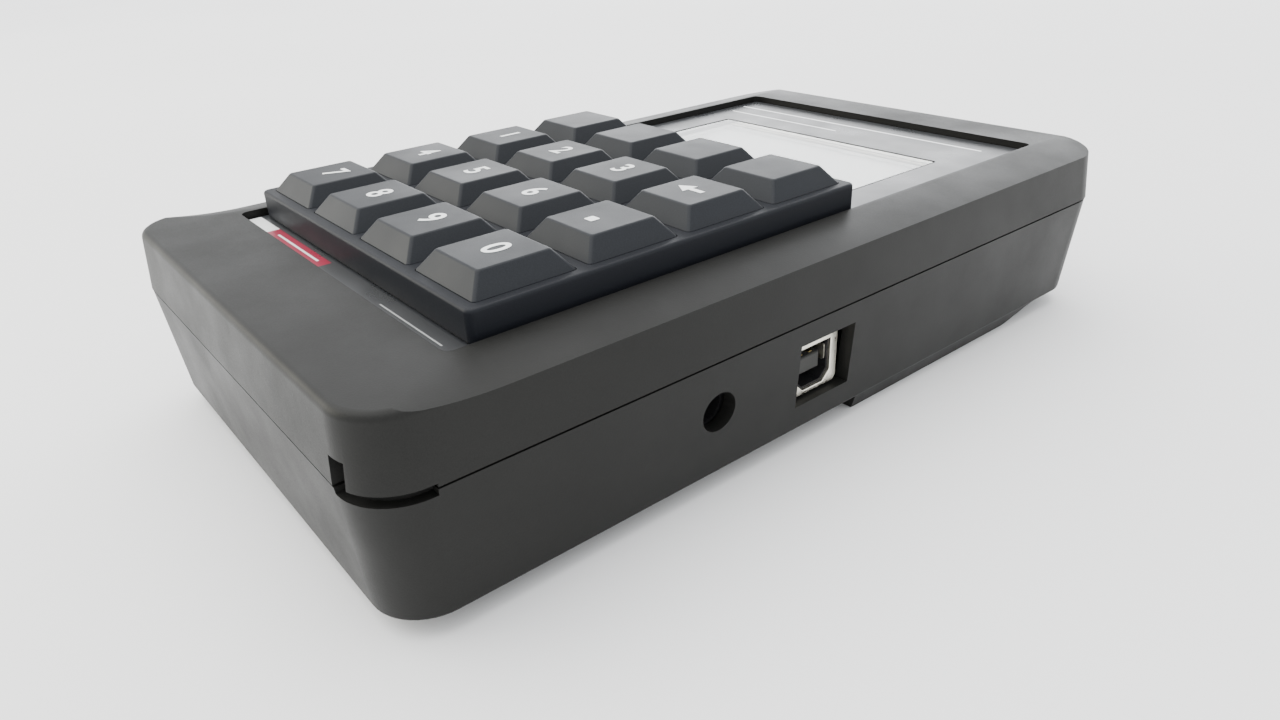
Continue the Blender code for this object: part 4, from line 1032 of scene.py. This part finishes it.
CAMERA_PLACE = Vector((0.13515, -0.11056, 0.08565))
CAMERA_TURN = Vector((1.9122, 0.8740, -0.5844))
CAMERA_AXES = Matrix.Rotation(CAMERA_TURN.length, 3, CAMERA_TURN.normalized())

LOOKS = {}


def make_looks(scene):
    """Every finish that the pieces share."""
    case, keypad = scene.simulator_case, scene.simulator_keypad
    LOOKS.update(
        shell=moulded("moulded_case", case.shell_colour),
        frame=moulded("moulded_frame", keypad.frame_colour, 0.25, (0.4, 0.5), 0.1),
        key=moulded("moulded_key", keypad.key_colour, 0.22, (0.34, 0.46), 0.2),
        black=moulded("moulded_black", (0.012, 0.012, 0.013), 0.2, (0.35, 0.5), 0.1),
        tongue=moulded("moulded_tongue", (0.045, 0.045, 0.043), 0.2, (0.4, 0.5), 0.05),
        ink=moulded("key_ink", case.ink_colour, 0.1, (0.45, 0.6), 0.0, 0.04),
        panel=printed_panel("printed_panel", case.panel_colour, case.band_colour, case.ink_colour),
        window=clear_plastic("window_acrylic"),
        display=display_face("display_film"),
        board=circuit_board("circuit_board"),
        steel=plated("plated_steel", (0.6, 0.6, 0.58), 0.3),
        socket=plated("tinned_socket", (0.83, 0.80, 0.70), 0.32, (0.2, 1.0, 1.0)),
        pin=plated("jack_pin", (0.5, 0.49, 0.46), 0.3),
        gold=plated("gold_contact", (0.78, 0.62, 0.3), 0.25),
        rubber=soft_rubber("foot_rubber", (0.022, 0.022, 0.022)),
        silicone=soft_rubber("dome_silicone", (0.35, 0.35, 0.33)),
        cell_back=cell_sleeve("cell_sleeve_back", True),
        cell_front=cell_sleeve("cell_sleeve_front", False),
    )


# --- add-on ------------------------------------------------------------------------------------------
class SIMULATOR_PT_parts(bpy.types.Panel):
    """Sidebar list of the sizes, colours and pieces"""

    bl_idname = "SIMULATOR_PT_parts"
    bl_label = "Signal simulator"
    bl_space_type = "VIEW_3D"
    bl_region_type = "UI"
    bl_category = "Simulator"

    def draw(self, context):
        for settings in (context.scene.simulator_case, context.scene.simulator_keypad):
            group = self.layout.box()
            for key in type(settings).__annotations__:
                group.prop(settings, key)
        for operator in OPERATORS:
            self.layout.operator(operator.bl_idname)


SETTINGS = (SimulatorCaseSettings, SimulatorKeypadSettings)
OPERATORS = (
    SIMULATOR_OT_stage,
    SIMULATOR_OT_top_case,
    SIMULATOR_OT_bottom_case,
    SIMULATOR_OT_door_and_feet,
    SIMULATOR_OT_panel,
    SIMULATOR_OT_keypad_frame,
    SIMULATOR_OT_keys,
    SIMULATOR_OT_legends,
    SIMULATOR_OT_sockets,
    SIMULATOR_OT_inside,
)


def register():
    """Add the classes and the settings."""
    for kind in (*SETTINGS, *OPERATORS, SIMULATOR_PT_parts):
        bpy.utils.register_class(kind)
    bpy.types.Scene.simulator_case = bpy.props.PointerProperty(type=SimulatorCaseSettings)
    bpy.types.Scene.simulator_keypad = bpy.props.PointerProperty(type=SimulatorKeypadSettings)


def unregister():
    """Remove the settings and the classes."""
    del bpy.types.Scene.simulator_keypad
    del bpy.types.Scene.simulator_case
    for kind in (SIMULATOR_PT_parts, *reversed(OPERATORS), *reversed(SETTINGS)):
        bpy.utils.unregister_class(kind)


def main():
    """Build every piece in order."""
    register()
    make_looks(bpy.context.scene)
    for operator in OPERATORS:
        group, name = operator.bl_idname.split(".")
        getattr(getattr(bpy.ops, group), name)()
    deselect()


if __name__ == "__main__":
    main()
